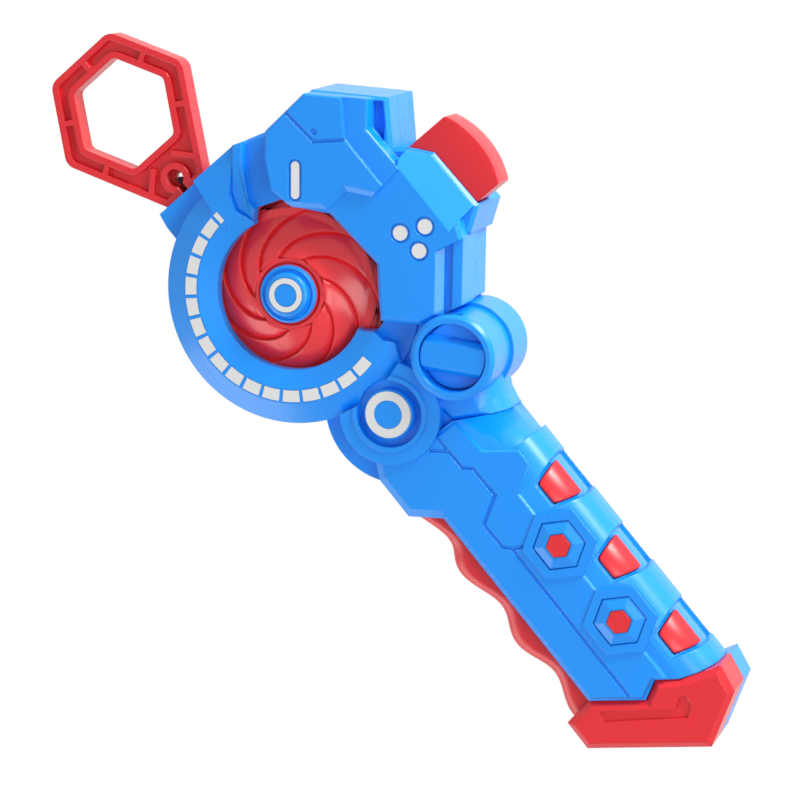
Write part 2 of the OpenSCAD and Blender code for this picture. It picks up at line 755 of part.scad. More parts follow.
module dash(k, grow, proud) {
    first = k == 0 ? dash_cut : 0;
    turn = dash_pitch - dash_space;
    rotate(dash_first + k * dash_pitch + first) rotate_extrude(angle = turn - first)
        translate([dash_in_r - grow, crest_z - dash_t])
            square([dash_out_r - dash_in_r + grow, dash_t + proud + (proud > 0 ? 0 : over)]);
}

module dial_marks() {
    color(white) for (k = [0 : dash_count - 1]) dash(k, 0, dash_proud);
}

// Raised cover over the top of the head
module upper_cover() {
    color(blue) difference() {
        intersection() {
            slab(cover_points, armour_z, cover_z, 0, small_chamfer / 2);
            // Wide slope along its lower edge
            loft(cover_edge_points, [[0, armour_z - over], [0, armour_z + cover_seat_t],
                [cover_slope_w, cover_z], [cover_slope_w, cover_z + over]]);
        }
        // Bevel along its right side
        prism(place(cover_bevel_shares, [0, 0], head), armour_z + cover_t / 3, cover_z + over);
        slot_hull(slot_r + slot_rim, cover_z - inlay_d, cover_z + over);
        groove(place(cover_groove_shares, [0, 0], head), cover_z);
        at_points([dimple_at]) disc(dimple_r, cover_z - groove_d, cover_z + over);
    }
}

module slot_hull(r, z0, z1) {
    hull() for (p = slot_points) translate([p[0], p[1], z0]) cylinder(r = r, h = z1 - z0, $fn = smooth_fn);
}

module slot_mark() {
    color(white) slot_hull(slot_r, cover_z - inlay_d, cover_z - fit_gap);
}

module dot_marks() {
    color(white) at_points(dot_points) disc(dot_r, armour_z - inlay_d, armour_z - fit_gap);
}

module boss_stud() {
    color(blue) translate(boss_at) difference() {
        union() {
            disc(boss_stud_r, boss_z - boss_well_d, boss_stud_z - small_chamfer / 2);
            translate([0, 0, boss_stud_z - small_chamfer / 2])
                cylinder(r1 = boss_stud_r, r2 = boss_stud_r - small_chamfer / 2, h = small_chamfer / 2);
        }
        tube(boss_ring_in, boss_ring_out, boss_stud_z - inlay_d, boss_stud_z + over);
    }
}

module boss_ring() {
    color(white) translate(boss_at) tube(boss_ring_in, boss_ring_out, boss_stud_z - inlay_d,
        boss_stud_z + dash_proud);
}

// Back half of the head

module cone_disc(r, z0, z1, chamfer) {
    translate([0, 0, z0]) cylinder(r1 = r - chamfer, r2 = r, h = chamfer);
    disc(r, z0 + chamfer, z1);
}

module back_shell() {
    color(blue) difference() {
        union() {
            difference() {
                union() {
                    cone_disc(dial_r, 0, part_z, back_chamfer);
                    slab(block_points, 0, part_z, back_chamfer / 2, 0);
                    prism(outlet_points, outlet_low_z, part_z);
                    intersection() {
                        slab(neck_points, 0, part_z, back_chamfer / 2, 0);
                        neck_side();
                    }
                    slab(web_points, 0, part_z, back_chamfer / 2, 0);
                    translate(barrel_at) cone_disc(barrel_back_r, 0, part_z, small_chamfer);
                    knuckle(0, part_z, back_chamfer / 2);
                }
                cone_disc(dial_r - wall, back_wall, part_z + over, wall);
                slab(inset(block_points, wall), back_wall, part_z + over, small_chamfer, 0);
                prism(neck_core_points, back_wall, part_z + over);
                translate(boss_at) intersection() {
                    disc(knuckle_r - wall, back_wall, part_z + over);
                    translate([-dial_r, seam_y + wall + boss_y, 0]) cube([2 * dial_r, dial_r, dial_r]);
                }
                translate(barrel_at) disc(barrel_back_r - wall, back_wall, part_z + over);
            }
            at_points(head_screws) disc(screw_boss_r, over, part_z);
            // Posts for the bearing plate
            for (a = post_angles) rotate(a) translate([post_at_r, 0, 0]) disc(post_r, over, plate_z);
            // Posts that carry the spring cup
            for (a = [45 : 90 : 315]) rotate(a) translate([cup_r - post_r, 0, 0])
                disc(post_r, over, cup_floor_z);
            // Wall that the button spring pushes against
            translate([spring_post_x, -spring_post_w / 2, over])
                cube([spring_post_t, spring_post_w, spring_post_h]);
            // Tongue that enters the handle
            translate([tongue_x, handle_top - tongue_l, tongue_low_z])
                cube([tongue_w, tongue_l + wall + over, tongue_t]);
        }
        disc(socket_r, -over, cup_floor_z);
        translate([spring_post_x - over, -slider_arm_w / 2 - slide_gap, back_wall])
            cube([spring_post_t + 2 * over, slider_arm_w + 2 * slide_gap, slider_t + 2 * slide_gap]);
        button_pocket();
        translate([cord_x, outlet_y + over, cord_z]) rotate([90, 0, 0])
            cylinder(r = guide_r + fit_gap / 2, h = guide_l + over);
        for (a = post_angles) rotate(a) translate([post_at_r, 0, 0])
            disc(plate_hole_r + fit_gap / 4, plate_z - plate_screw_l, plate_z + over);
        at_points(concat(head_screws, [tongue_screw])) {
            disc(screw_hole_r, -over, part_z + over);
            disc(screw_head_r + fit_gap, -over, screw_head_z + screw_head_t);
        }
    }
}

module cord_guide() {
    color(brass_tone) translate([cord_x, outlet_y, cord_z]) rotate([90, 0, 0])
        tube(guide_bore_r, guide_r, 0, guide_l);
}

// Handle

function spine_side(w, h) = [for (i = [0 : spine_steps])
    let (a = -90 + 180 * i / spine_steps, s = sin(a))
    [spine_x + w * pow(abs(cos(a)), spine_power), handle_z / 2 + h * sign(s) * pow(abs(s), spine_power)]];

// Cross-section of the handle, shrunk by d and widened at a rib
module handle_section(d, rib) {
    left = handle_points[8][0] - over + d;
    c = small_chamfer + over;
    polygon(concat(spine_side(spine_w + rib - d, handle_z / 2 - d),
        [[left + c, handle_z - d], [left, handle_z - d - c], [left, d + c], [left + c, d]]));
}

// The neck's side carries on the spine's round section and flares out to the barrel
module neck_side() {
    rings = [for (v = neck_flare_shares) [neck_ring(spine_w * v[0]), -neck_corner[1] - v[1] * dial_r]];
    rotate([90, 0, 0]) stack([for (i = [len(rings) - 1 : -1 : 0]) rings[i]], neck_ring(spine_w));
}

function neck_ring(w) = concat(spine_side(w, handle_z / 2), [[0, handle_z], [0, 0]]);

module along_handle(top, length) {
    translate([0, top, 0]) rotate([90, 0, 0]) linear_extrude(length) children();
}

module handle_body(d, points = handle_points) {
    top = max([for (p = points) p[1]]) + over;
    intersection() {
        prism(d > 0 ? inset(points, d) : points, 0, panel_z);
        union() {
            along_handle(top, top - handle_foot + over) handle_section(d, 0);
            if (d == 0)
                along_handle(first_insert_y + rib_start, first_insert_y + rib_start - handle_foot + over)
                    handle_section(0, rib_h);
        }
    }
}

// Valleys between the ribs, round the inserts
module valleys() {
    at_inserts() difference() {
        prism(insert_outline(valley_gap), valley_low_z, panel_z);
        along_handle(rib_pitch / 2, rib_pitch) handle_section(valley_d, 0);
    }
}

module at_inserts() {
    for (k = [0 : insert_count - 1]) translate([0, first_insert_y - k * rib_pitch, 0]) children();
}

function insert_outline(grow) = [
    [spine_x + spine_w - insert_reach - grow, -insert_top_l / 2 - grow / 2],
    [spine_x + spine_w + rib_h * 2, -insert_l / 2 - rib_h - grow],
    [spine_x + spine_w + rib_h * 2, insert_l / 2 + rib_h + grow],
    [spine_x + spine_w - insert_reach - grow, insert_top_l / 2 + grow / 2]];

module insert_pockets() {
    at_inserts() prism(insert_outline(fit_gap * 2), insert_low_z - fit_gap * 2, panel_z);
}

module hexagon(r, z0, z1) {
    rotate(30) disc_hex(r, z0, z1);
}

module disc_hex(r, z0, z1) {
    translate([0, 0, z0]) cylinder(r = r, h = z1 - z0, $fn = 6);
}

module handle_front() {
    color(blue) difference() {
        union() {
            difference() {
                handle_body(0, front_points);
                handle_body(wall);
            }
            slab(panel_points, handle_z - over, panel_z, 0, panel_t / 2);
            at_points(badge_at) hexagon(badge_r, handle_z - over, panel_z + frame_t);
            at_points(concat(handle_screw_points, [tongue_screw]))
                disc(front_boss_r, part_z, handle_z - over);
        }
        translate([-dial_r, handle_foot - dial_r, -over])
            cube([3 * dial_r, handle_l + 2 * dial_r, part_z + over]);
        for (i = [0 : 2])
            bevel_cut(lobe_points[i], lobe_points[i + 1], lobe_bevel_w, lobe_bevel_d, panel_z,
                i > 0 ? lobe_bevel_w : over, i < 2 ? lobe_bevel_w : -fit_gap);
        groove(place(groove_shares, grip_at, grip_size), panel_z);
        groove(place(short_groove_shares, grip_at, grip_size), panel_z);
        groove(place(link_groove_shares, grip_at, grip_size), panel_z);
        at_points(badge_at) hexagon(badge_in_r, panel_z - groove_d, panel_z + frame_t + over);
        valleys();
        insert_pockets();
        at_points(concat(handle_screw_points, [tongue_screw]))
            disc(screw_r + fit_gap / 4, part_z - over, screw_tip_z);
        butt_tongue(fit_gap * 2);
    }
}

module handle_back() {
    color(blue) difference() {
        union() {
            difference() {
                handle_body(0);
                handle_body(wall);
            }
            at_points(handle_screw_points) disc(screw_boss_r, over, part_z);
        }
        translate([-dial_r, handle_foot - dial_r, part_z])
            cube([3 * dial_r, handle_l + 2 * dial_r, part_z]);
        translate([tongue_x - fit_gap, handle_top - tongue_l - fit_gap, tongue_low_z - fit_gap])
            cube([tongue_w + 2 * fit_gap, tongue_l + dial_r, part_z]);
        butt_tongue(fit_gap * 2);
        valleys();
        at_points(concat(handle_screw_points, [tongue_screw])) {
            disc(screw_hole_r, -over, part_z + over);
            disc(screw_head_r + fit_gap, -over, screw_head_z + screw_head_t);
        }
    }
}

// A point of the grooved edge, moved inwards, at a share of the way between the grip's ends
function grip_end(a, b, x) = a[1] + (x - a[0]) * (b[1] - a[1]) / (b[0] - a[0]);
function grip_y(t, x) = let (top = grip_end(grip_bounds[3], grip_bounds[2], x),
    foot = grip_end(grip_bounds[0], grip_bounds[1], x))
    top + t * (foot - top);
function grip_edge(t, d) = let (y = grip_y(t, handle_x - grip_w),
    x = handle_x - grip_w - grip_wave * cos(360 * (grip_crest_y - y) / finger_pitch) + d)
    [x, grip_y(t, x)];
function grip_ring(d) = concat([for (i = [0 : grip_steps]) grip_edge(i / grip_steps, d)],
    [grip_bounds[1], grip_bounds[2]]);

// Rounded bar with finger grooves, between the handle's lobe and the butt cap
module finger_grip() {
    n = grip_round_steps;
    ease = [for (k = [0 : n]) grip_round * [1 - sin(90 * k / n), 1 - cos(90 * k / n)]];
    color(red) stack(concat([for (k = [0 : n]) [grip_ring(ease[k][0]), grip_low_z + ease[k][1]]],
        [for (k = [n : -1 : 0]) [grip_ring(ease[k][0]), grip_high_z - ease[k][1]]]), grip_ring(0), true);
}

module spine_inserts() {
    color(red) at_inserts() intersection() {
        prism(insert_outline(0), insert_low_z, panel_z);
        along_handle(insert_l, 2 * insert_l) difference() {
            handle_section(0, insert_rise);
            handle_section(insert_t, 0);
        }
    }
}

module hex_badges() {
    color(blue) at_points(badge_at) difference() {
        loft([for (k = [0 : 5]) polar(badge_in_r - fit_gap * 2, 30 + 60 * k)],
            [[0, panel_z - groove_d], [0, panel_z + badge_rise], [badge_slope_w, badge_top_z]]);
        hexagon(stud_hex_r + fit_gap, stud_low_z, badge_top_z + over);
    }
}

module hex_studs() {
    color(red) at_points(badge_at) hexagon(stud_hex_r, stud_low_z, stud_z);
}

// Butt cap

module butt_tongue(grow) {
    translate([tongue_x + butt_tongue_in - grow, handle_foot + butt_tongue_in, tongue_low_z - grow])
        cube([tongue_w - 2 * butt_tongue_in + 2 * grow, tongue_l, butt_part_z - tongue_low_z + 2 * grow]);
}

module butt_cap_front() {
    color(red) difference() {
        slab(butt_points, butt_part_z + fit_gap / 2, panel_z, 0, butt_round);
        prism(mark_points, panel_z - mark_d, panel_z + over);
        prism(butt_core_points, butt_part_z - over, panel_z - wall);
    }
}

module butt_cap_back() {
    color(blue) union() {
        difference() {
            slab(butt_points, 0, butt_part_z, butt_round, 0);
            prism(butt_core_points, wall, butt_part_z + over);
        }
        intersection() {
            butt_tongue(0);
            union() {
                prism(butt_points, 0, butt_part_z);
                translate([handle_x, handle_foot, 0]) cube([handle_w, handle_l, butt_part_z]);
            }
        }
    }
}

// Screws

module shell_screws() {
    color(steel) {
        at_points(head_screws) screw();
        at_points(concat(handle_screw_points, [tongue_screw])) screw();
    }
}

module screw() {
    difference() {
        disc(screw_head_r, screw_head_z, screw_head_z + screw_head_t);
        for (a = [0, 90]) rotate(a) translate([-screw_r, -screw_r / 4, screw_head_z - over])
            cube([2 * screw_r, screw_r / 2, over + screw_head_t / 2]);
    }
    disc(screw_r, screw_head_z + screw_head_t / 2, screw_tip_z - over);
}

module plate_screws() {
    color(steel) for (a = post_angles) rotate(a) translate([post_at_r, 0, plate_z + plate_t]) difference() {
        union() {
            disc(plate_screw_head_r, 0, plate_screw_head_t);
            disc(plate_hole_r, -plate_t - plate_screw_l + over, plate_screw_head_t / 2);
        }
        translate([-plate_screw_head_r / 2, -plate_hole_r / 4, plate_screw_head_t / 2])
            cube([plate_screw_head_r, plate_hole_r / 2, plate_screw_head_t]);
    }
}

// Fixed parts of the mechanism

module bearing_plate() {
    color(grey) difference() {
        translate([0, 0, plate_z]) linear_extrude(plate_t) intersection() {
            circle(dial_r - wall - fit_gap);
            union() {
                circle(plate_r);
                for (a = post_angles) rotate(a) {
                    translate([plate_r - arm_w, -arm_w / 2]) square([post_at_r - plate_r + arm_w, arm_w]);
                    translate([post_at_r, 0]) circle(post_r);
                }
            }
        }
        disc(front_bush_r + fit_gap / 2, plate_z - over, plate_z + plate_t + over);
        for (a = post_angles) rotate(a) translate([post_at_r, 0, 0])
            disc(plate_hole_r + fit_gap, plate_z - over, plate_z + plate_t + over);
    }
}

module front_bush() {
    color(brass_tone) tube(spindle_r + shaft_gap, front_bush_r, plate_z, plate_z + front_bush_h);
}

module rear_bush() {
    color(brass_tone)
        tube(socket_out_r + shaft_gap, socket_out_r + bush_t, cup_floor_z, cup_floor_z + bush_h);
}

module spring_cup() {
    color(grey) {
        tube(socket_out_r + bush_t + fit_gap / 2, cup_r, cup_floor_z, cup_floor_z + cup_floor_t);
        tube(cup_r - cup_wall_t, cup_r, cup_floor_z, cup_floor_z + cup_h);
    }
}

// Flat spiral spring that winds the cord back
module return_spring() {
    pitch = spring_pitch / spring_steps;
    n = round((spring_out_r - spring_in_r) / pitch);
    color(steel) prism(concat(
        [for (i = [0 : n]) polar(spring_in_r + pitch * i, 360 * i / spring_steps)],
        [for (i = [n : -1 : 0]) polar(spring_in_r + spring_t + pitch * i, 360 * i / spring_steps)]),
        spring_low_z, spring_low_z + spring_h);
}

// Reel with its one-way pawls

module cord_reel() {
    top = reel_low_z + reel_h;
    color(white) difference() {
        union() {
            disc(reel_r, reel_low_z, reel_low_z + flange_t);
            disc(core_r, reel_low_z, top);
            disc(reel_r, top - flange_t, top);
            tube(skirt_r - skirt_t, skirt_r, reel_low_z - skirt_h, reel_low_z + flange_t);
        }
        disc(spindle_r + shaft_gap, reel_low_z - over, top + over);
    }
}

module cord_winding() {
    color(grey) tube(core_r + fit_gap / 2, wind_r + cord_r, reel_low_z + flange_t + fit_gap,
        reel_low_z + reel_h - flange_t - fit_gap);
}

module ratchet_pawls() {
    top = reel_low_z + reel_h;
    color(steel) for (a = [0, 180]) rotate(a) translate([pawl_at_r, 0, 0]) {
        disc(pawl_w / 2, top, top + ratchet_t);
        rotate(pawl_turn) translate([0, -pawl_w / 2, top]) cube([pawl_l, pawl_w, ratchet_t - fit_gap]);
    }
}

module ratchet_wheel() {
    step = 360 / ratchet_teeth;
    color(steel) difference() {
        prism([for (k = [0 : ratchet_teeth - 1]) for (j = [0, 1])
            polar(j == 0 ? ratchet_r : ratchet_r - ratchet_tooth, k * step + j * step * ratchet_flank_share)],
            ratchet_low_z, ratchet_low_z + ratchet_t);
        disc(spindle_r + fit_gap / 4, ratchet_low_z - over, ratchet_low_z + ratchet_t + over);
    }
}

// Rotor: the spindle carries the drive socket, the ratchet wheel and the turbine

module spindle() {
    color(steel) disc(spindle_r, spindle_low_z, spindle_high_z);
}

module drive_socket() {
    top = socket_low_z + socket_h;
    color(white) difference() {
        union() {
            tube(tooth_root_r, socket_out_r, socket_low_z, top);
            disc(socket_out_r, top - socket_floor_t, top);
            for (k = [0 : socket_teeth - 1]) rotate(k * 360 / socket_teeth)
                translate([tooth_tip_r, -tooth_w / 2, socket_low_z + small_chamfer])
                    cube([tooth_root_r - tooth_tip_r + over, tooth_w, socket_h - 2 * small_chamfer]);
        }
        disc(spindle_r + fit_gap / 4, spindle_low_z - over, top + over);
    }
}

function vane_edge(turn) = [for (i = [0 : vane_steps])
    let (t = i / vane_steps)
    polar(vane_in_r + t * (vane_out_r - vane_in_r), turn - vane_sweep * pow(t, vane_bend))];

module turbine_skin_solid(rise) {
    rotate_extrude() polygon([[0, turbine_low_z], [turbine_r, turbine_low_z],
        [turbine_r, turbine_low_z + turbine_rim_t + rise],
        [turbine_shoulder_r, turbine_low_z + turbine_rim_t + rise],
        [turbine_flat_r, turbine_top_z - vane_h + rise], [0, turbine_top_z - vane_h + rise]]);
}

module turbine_disc() {
    color(red) difference() {
        union() {
            turbine_skin_solid(0);
            disc(turbine_flat_r, turbine_low_z, turbine_top_z);
            intersection() {
                turbine_skin_solid(vane_h);
                for (k = [0 : vanes - 1]) prism(concat(vane_edge(k * 360 / vanes),
                    [for (i = [vane_steps : -1 : 0]) vane_edge(k * 360 / vanes + vane_turn)[i]]),
                    turbine_low_z, turbine_top_z);
            }
        }
        rotate_extrude() polygon([[turbine_hub_r, turbine_low_z - over],
            [turbine_shoulder_r - turbine_skin, turbine_low_z - over],
            [turbine_flat_r - turbine_skin, turbine_top_z - vane_h - turbine_skin],
            [turbine_hub_r, turbine_top_z - vane_h - turbine_skin]]);
        disc(spindle_r + fit_gap / 4, turbine_low_z - over, turbine_top_z + over);
        disc(front_bush_r + slide_gap, turbine_low_z - over, plate_z + front_bush_h + slide_gap);
    }
}

module hub_cap() {
    top = turbine_top_z + hub_h;
    color(blue) difference() {
        union() {
            disc(hub_r, turbine_top_z, top - 2 * small_chamfer);
            translate([0, 0, top - 2 * small_chamfer])
                cylinder(r1 = hub_r, r2 = hub_r - small_chamfer, h = small_chamfer);
            disc(hub_mid_r, turbine_top_z, top);
        }
        tube(hub_mid_r, hub_mid_r + hub_groove_w, top - 2 * small_chamfer + small_chamfer / 4, top);
        tube(hub_ring_in, hub_ring_out, top - inlay_d, top + over);
        disc(spindle_r + fit_gap / 4, turbine_top_z - over, spindle_high_z + fit_gap);
    }
}

module hub_ring() {
    top = turbine_top_z + hub_h;
    color(white) tube(hub_ring_in, hub_ring_out, top - inlay_d, top + dash_proud);
}

// Release button

module button_plan() {
    intersection() {
        translate([button_in_x, button_bottom_y]) square([button_out_x, button_top_y - button_bottom_y]);
        translate([button_out_x - button_arc_r, (button_top_y + button_bottom_y) / 2]) circle(button_arc_r);
    }
}

module release_button() {
    color(red) intersection() {
        translate([0, 0, button_low_z]) linear_extrude(button_high_z - button_low_z) button_plan();
        translate([button_out_x - button_arc_r, (button_top_y + button_bottom_y) / 2, 0]) union() {
            disc(button_arc_r, button_low_z + small_chamfer, button_high_z - small_chamfer);
            translate([0, 0, button_high_z - small_chamfer])
                cylinder(r1 = button_arc_r, r2 = button_arc_r - small_chamfer, h = small_chamfer);
            translate([0, 0, button_low_z])
                cylinder(r1 = button_arc_r - small_chamfer, r2 = button_arc_r, h = small_chamfer);
        }
    }
}

module release_slider() {
    hole_x = catch_hole_r - socket_r + catch_bite;
    arm_x = button_in_x - upstand_t;
    z1 = slider_low_z + slider_t;
    color(grey) difference() {
        union() {
            translate([hole_x, 0, 0]) disc(catch_hole_r + slider_ring_w, slider_low_z, z1);
            translate([hole_x, -slider_arm_w / 2, slider_low_z])
                cube([arm_x - hole_x + upstand_t, slider_arm_w, slider_t]);
            translate([arm_x, -upstand_w / 2, slider_low_z]) cube([upstand_t, upstand_w, upstand_h]);
        }
        translate([hole_x, 0, 0]) disc(catch_hole_r, slider_low_z - over, z1 + over);
    }
}

// A helix of round wire, from functions that follow its turns
function coil_point(i, j, length) = let (a = 360 * i / coil_steps, b = 360 * j / coil_sides,
    r = coil_r + coil_wire_r * cos(b))
    [r * cos(a), r * sin(a), coil_wire_r * sin(b) + length * i / (coil_turns * coil_steps)];

module coil(length) {
    n = coil_turns * coil_steps;
    polyhedron(
        points = [for (i = [0 : n]) for (j = [0 : coil_sides - 1]) coil_point(i, j, length)],
        faces = concat([[for (j = [0 : coil_sides - 1]) j]],
            [for (i = [0 : n - 1]) for (j = [0 : coil_sides - 1]) each [
                [i * coil_sides + j, (i + 1) * coil_sides + j, (i + 1) * coil_sides + (j + 1) % coil_sides],
                [i * coil_sides + j, (i + 1) * coil_sides + (j + 1) % coil_sides,
                    i * coil_sides + (j + 1) % coil_sides]]],
            [[for (j = [coil_sides - 1 : -1 : 0]) n * coil_sides + j]]));
}

module button_spring() {
    start = spring_post_x + spring_post_t + coil_wire_r + fit_gap / 2;
    end = button_in_x - upstand_t - coil_wire_r - slide_gap;
    color(steel) translate([start, 0, coil_z]) rotate([0, 90, 0]) coil(end - start);
}

// Quarter-turn knob in the barrel

module selector_knob() {
    half = knob_bar_w / 2;
    color(blue) translate(barrel_at) {
        disc(knob_r, knob_well_z + slide_gap, knob_well_z + slide_gap + knob_base_t);
        disc(knob_stem_r, part_z + knob_stem_lift, knob_well_z + slide_gap);
        rotate(knob_turn) intersection() {
            disc(knob_r, knob_well_z + slide_gap, knob_bar_z);
            rotate([90, 0, 90]) translate([0, 0, -barrel_r]) linear_extrude(2 * barrel_r)
                polygon([[-half, knob_well_z + slide_gap], [half, knob_well_z + slide_gap],
                    [half, knob_bar_z - knob_bevel_d], [half - knob_bevel_w, knob_bar_z],
                    [knob_bevel_w - half, knob_bar_z], [-half, knob_bar_z - knob_bevel_d]]);
        }
    }
}

module selector_cam() {
    high = knob_well_z - knob_floor_t - slide_gap;
    color(white) translate(barrel_at) difference() {
        union() {
            disc(cam_r, high - cam_t, high);
            rotate(knob_turn) translate([cam_lobe, 0, 0]) disc(cam_r - slide_gap, high - cam_t, high);
        }
        disc(knob_stem_r + fit_gap / 4, high - cam_t - over, high + over);
    }
}

// Pull ring and cord

// The hexagon's lower sides run on to the base
ring_points = [[-ring_base_w / 2, 0], [ring_base_w / 2, 0], [pull_r, ring_depth],
    [pull_r / 2, ring_depth + pull_r * sin(60)], [-pull_r / 2, ring_depth + pull_r * sin(60)],
    [-pull_r, ring_depth]];

module ring_silhouette(d) {
    translate([cord_x, ring_base_y]) union() {
        round_corners(ring_corner_r - d) polygon(inset(ring_points, d));
        intersection() {
            polygon(inset(ring_points, d));
            translate([-pull_r, 0]) square([2 * pull_r, ring_corner_r + ring_depth / 2]);
        }
    }
}

module ring_opening(d) {
    translate(ring_at) round_corners(ring_hole_corner_r + d) circle(pull_r - (band_w - d) / cos(30), $fn = 6);
}

module round_corners(r) {
    offset(r = r) offset(delta = -r) children();
}

module pull_ring() {
    color(red) difference() {
        translate([0, 0, ring_low_z]) linear_extrude(pull_t) difference() {
            ring_silhouette(0);
            ring_opening(0);
        }
        // Recess in both faces, with ribs across it
        for (z = [ring_low_z - over, cord_z + ring_web_t / 2])
            translate([0, 0, z]) linear_extrude(pull_t / 2 - ring_web_t / 2 + over) difference() {
                ring_silhouette(ring_rim_w);
                ring_opening(ring_rim_w);
                for (k = [0 : 4]) translate(ring_at) rotate(-30 + 60 * k)
                    translate([0, -ring_rib_w / 2]) square([pull_r, ring_rib_w]);
                translate([cord_x, eye_y]) circle(eye_r);
                for (m = [-1, 1]) translate([cord_x + m * bridge_x, bridge_y]) rotate(m * -45)
                    translate([-band_w, -ring_rib_w / 2]) square([2 * band_w, ring_rib_w]);
            }
        translate([cord_x, eye_y, 0]) {
            disc(eye_hole_r, cord_z - ring_web_t / 2, ring_high_z + over);
            disc(sight_r, ring_low_z - over, ring_high_z);
        }
        translate([cord_x - eye_slot_w / 2, ring_base_y - over, cord_z - cord_r - slide_gap])
            cube([eye_slot_w, eye_y - ring_base_y + over, pull_t]);
    }
}

module pull_cord() {
    color(grey) translate([cord_x, cord_start_y, cord_z]) rotate([-90, 0, 0])
        disc(cord_r, 0, knot_y - knot_r - slide_gap - cord_start_y);
}

module cord_knot() {
    color(grey) translate([cord_x, knot_y, cord_z]) sphere(knot_r, $fn = 32);
}

front_shell();
upper_cover();
back_shell();
dial_marks();
slot_mark();
dot_marks();
boss_stud();
boss_ring();
cord_guide();
handle_front();
handle_back();
finger_grip();
spine_inserts();
hex_badges();
hex_studs();
butt_cap_front();
butt_cap_back();
shell_screws();
plate_screws();
bearing_plate();
front_bush();
rear_bush();
spring_cup();
return_spring();
cord_reel();
cord_winding();
ratchet_pawls();
ratchet_wheel();
spindle();
drive_socket();
turbine_disc();
hub_cap();
hub_ring();
release_button();
release_slider();
button_spring();
selector_knob();
selector_cam();
pull_ring();
pull_cord();
cord_knot();
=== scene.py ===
"""Looks of the hand-held launcher for spinning tops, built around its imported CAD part."""

import logging
import math
from dataclasses import dataclass, field
from enum import Enum
from typing import Sequence

import bmesh
import bpy
from mathutils import Euler, Matrix, Vector


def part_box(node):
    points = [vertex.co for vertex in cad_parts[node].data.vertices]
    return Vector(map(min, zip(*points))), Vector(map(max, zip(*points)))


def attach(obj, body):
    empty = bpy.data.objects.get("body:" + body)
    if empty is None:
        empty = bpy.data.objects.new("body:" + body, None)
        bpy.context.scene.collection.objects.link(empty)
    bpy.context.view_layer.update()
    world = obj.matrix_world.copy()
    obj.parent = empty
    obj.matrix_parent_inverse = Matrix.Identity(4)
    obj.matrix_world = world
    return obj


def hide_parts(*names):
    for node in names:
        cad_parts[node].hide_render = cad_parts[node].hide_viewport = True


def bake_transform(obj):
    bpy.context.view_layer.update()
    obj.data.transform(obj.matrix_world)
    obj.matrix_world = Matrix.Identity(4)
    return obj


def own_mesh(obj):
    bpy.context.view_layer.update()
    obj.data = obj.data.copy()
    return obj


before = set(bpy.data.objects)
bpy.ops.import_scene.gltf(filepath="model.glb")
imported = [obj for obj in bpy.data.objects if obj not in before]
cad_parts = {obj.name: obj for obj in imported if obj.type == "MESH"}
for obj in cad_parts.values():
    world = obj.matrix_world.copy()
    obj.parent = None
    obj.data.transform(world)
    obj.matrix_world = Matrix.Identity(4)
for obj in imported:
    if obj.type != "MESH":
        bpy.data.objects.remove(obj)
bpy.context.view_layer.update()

logging.basicConfig(level=logging.INFO, format="%(name)s: %(message)s")
LOG = logging.getLogger("scene")

MM = 0.001
# Points closer than this are merged, in metres
WELD = 0.001 * MM
# Lengths in mm that differ by less than this are taken as equal
NEAR = 0.01
# Faces that turn by less than this many degrees are one flat face
FLAT_DEG = 0.4
BEVEL_SAMPLES = 4
PURE_WHITE = (1.0, 1.0, 1.0, 1.0)
Colour = tuple[float, float, float]
Point = tuple[float, float, float]
Pairs = tuple[tuple[float, float], ...]


class Slot(Enum):
    """The record's material slots, which are also the finishes."""

    BLUE = "shell_blue"
    RED = "trim_red"
    WHITE = "mark_white"
    GREY = "inner_grey"
    IVORY = "inner_white"
    STEEL = "steel"
    BRASS = "brass"
    CORD = "cord"


class Body(Enum):
    """The CAD bodies that pieces ride on."""

    HOUSING = "housing"
    REEL = "reel"
    ROTOR = "drive_rotor"
    PULL = "pull_handle"
    RELEASE = "release"


# Shaders


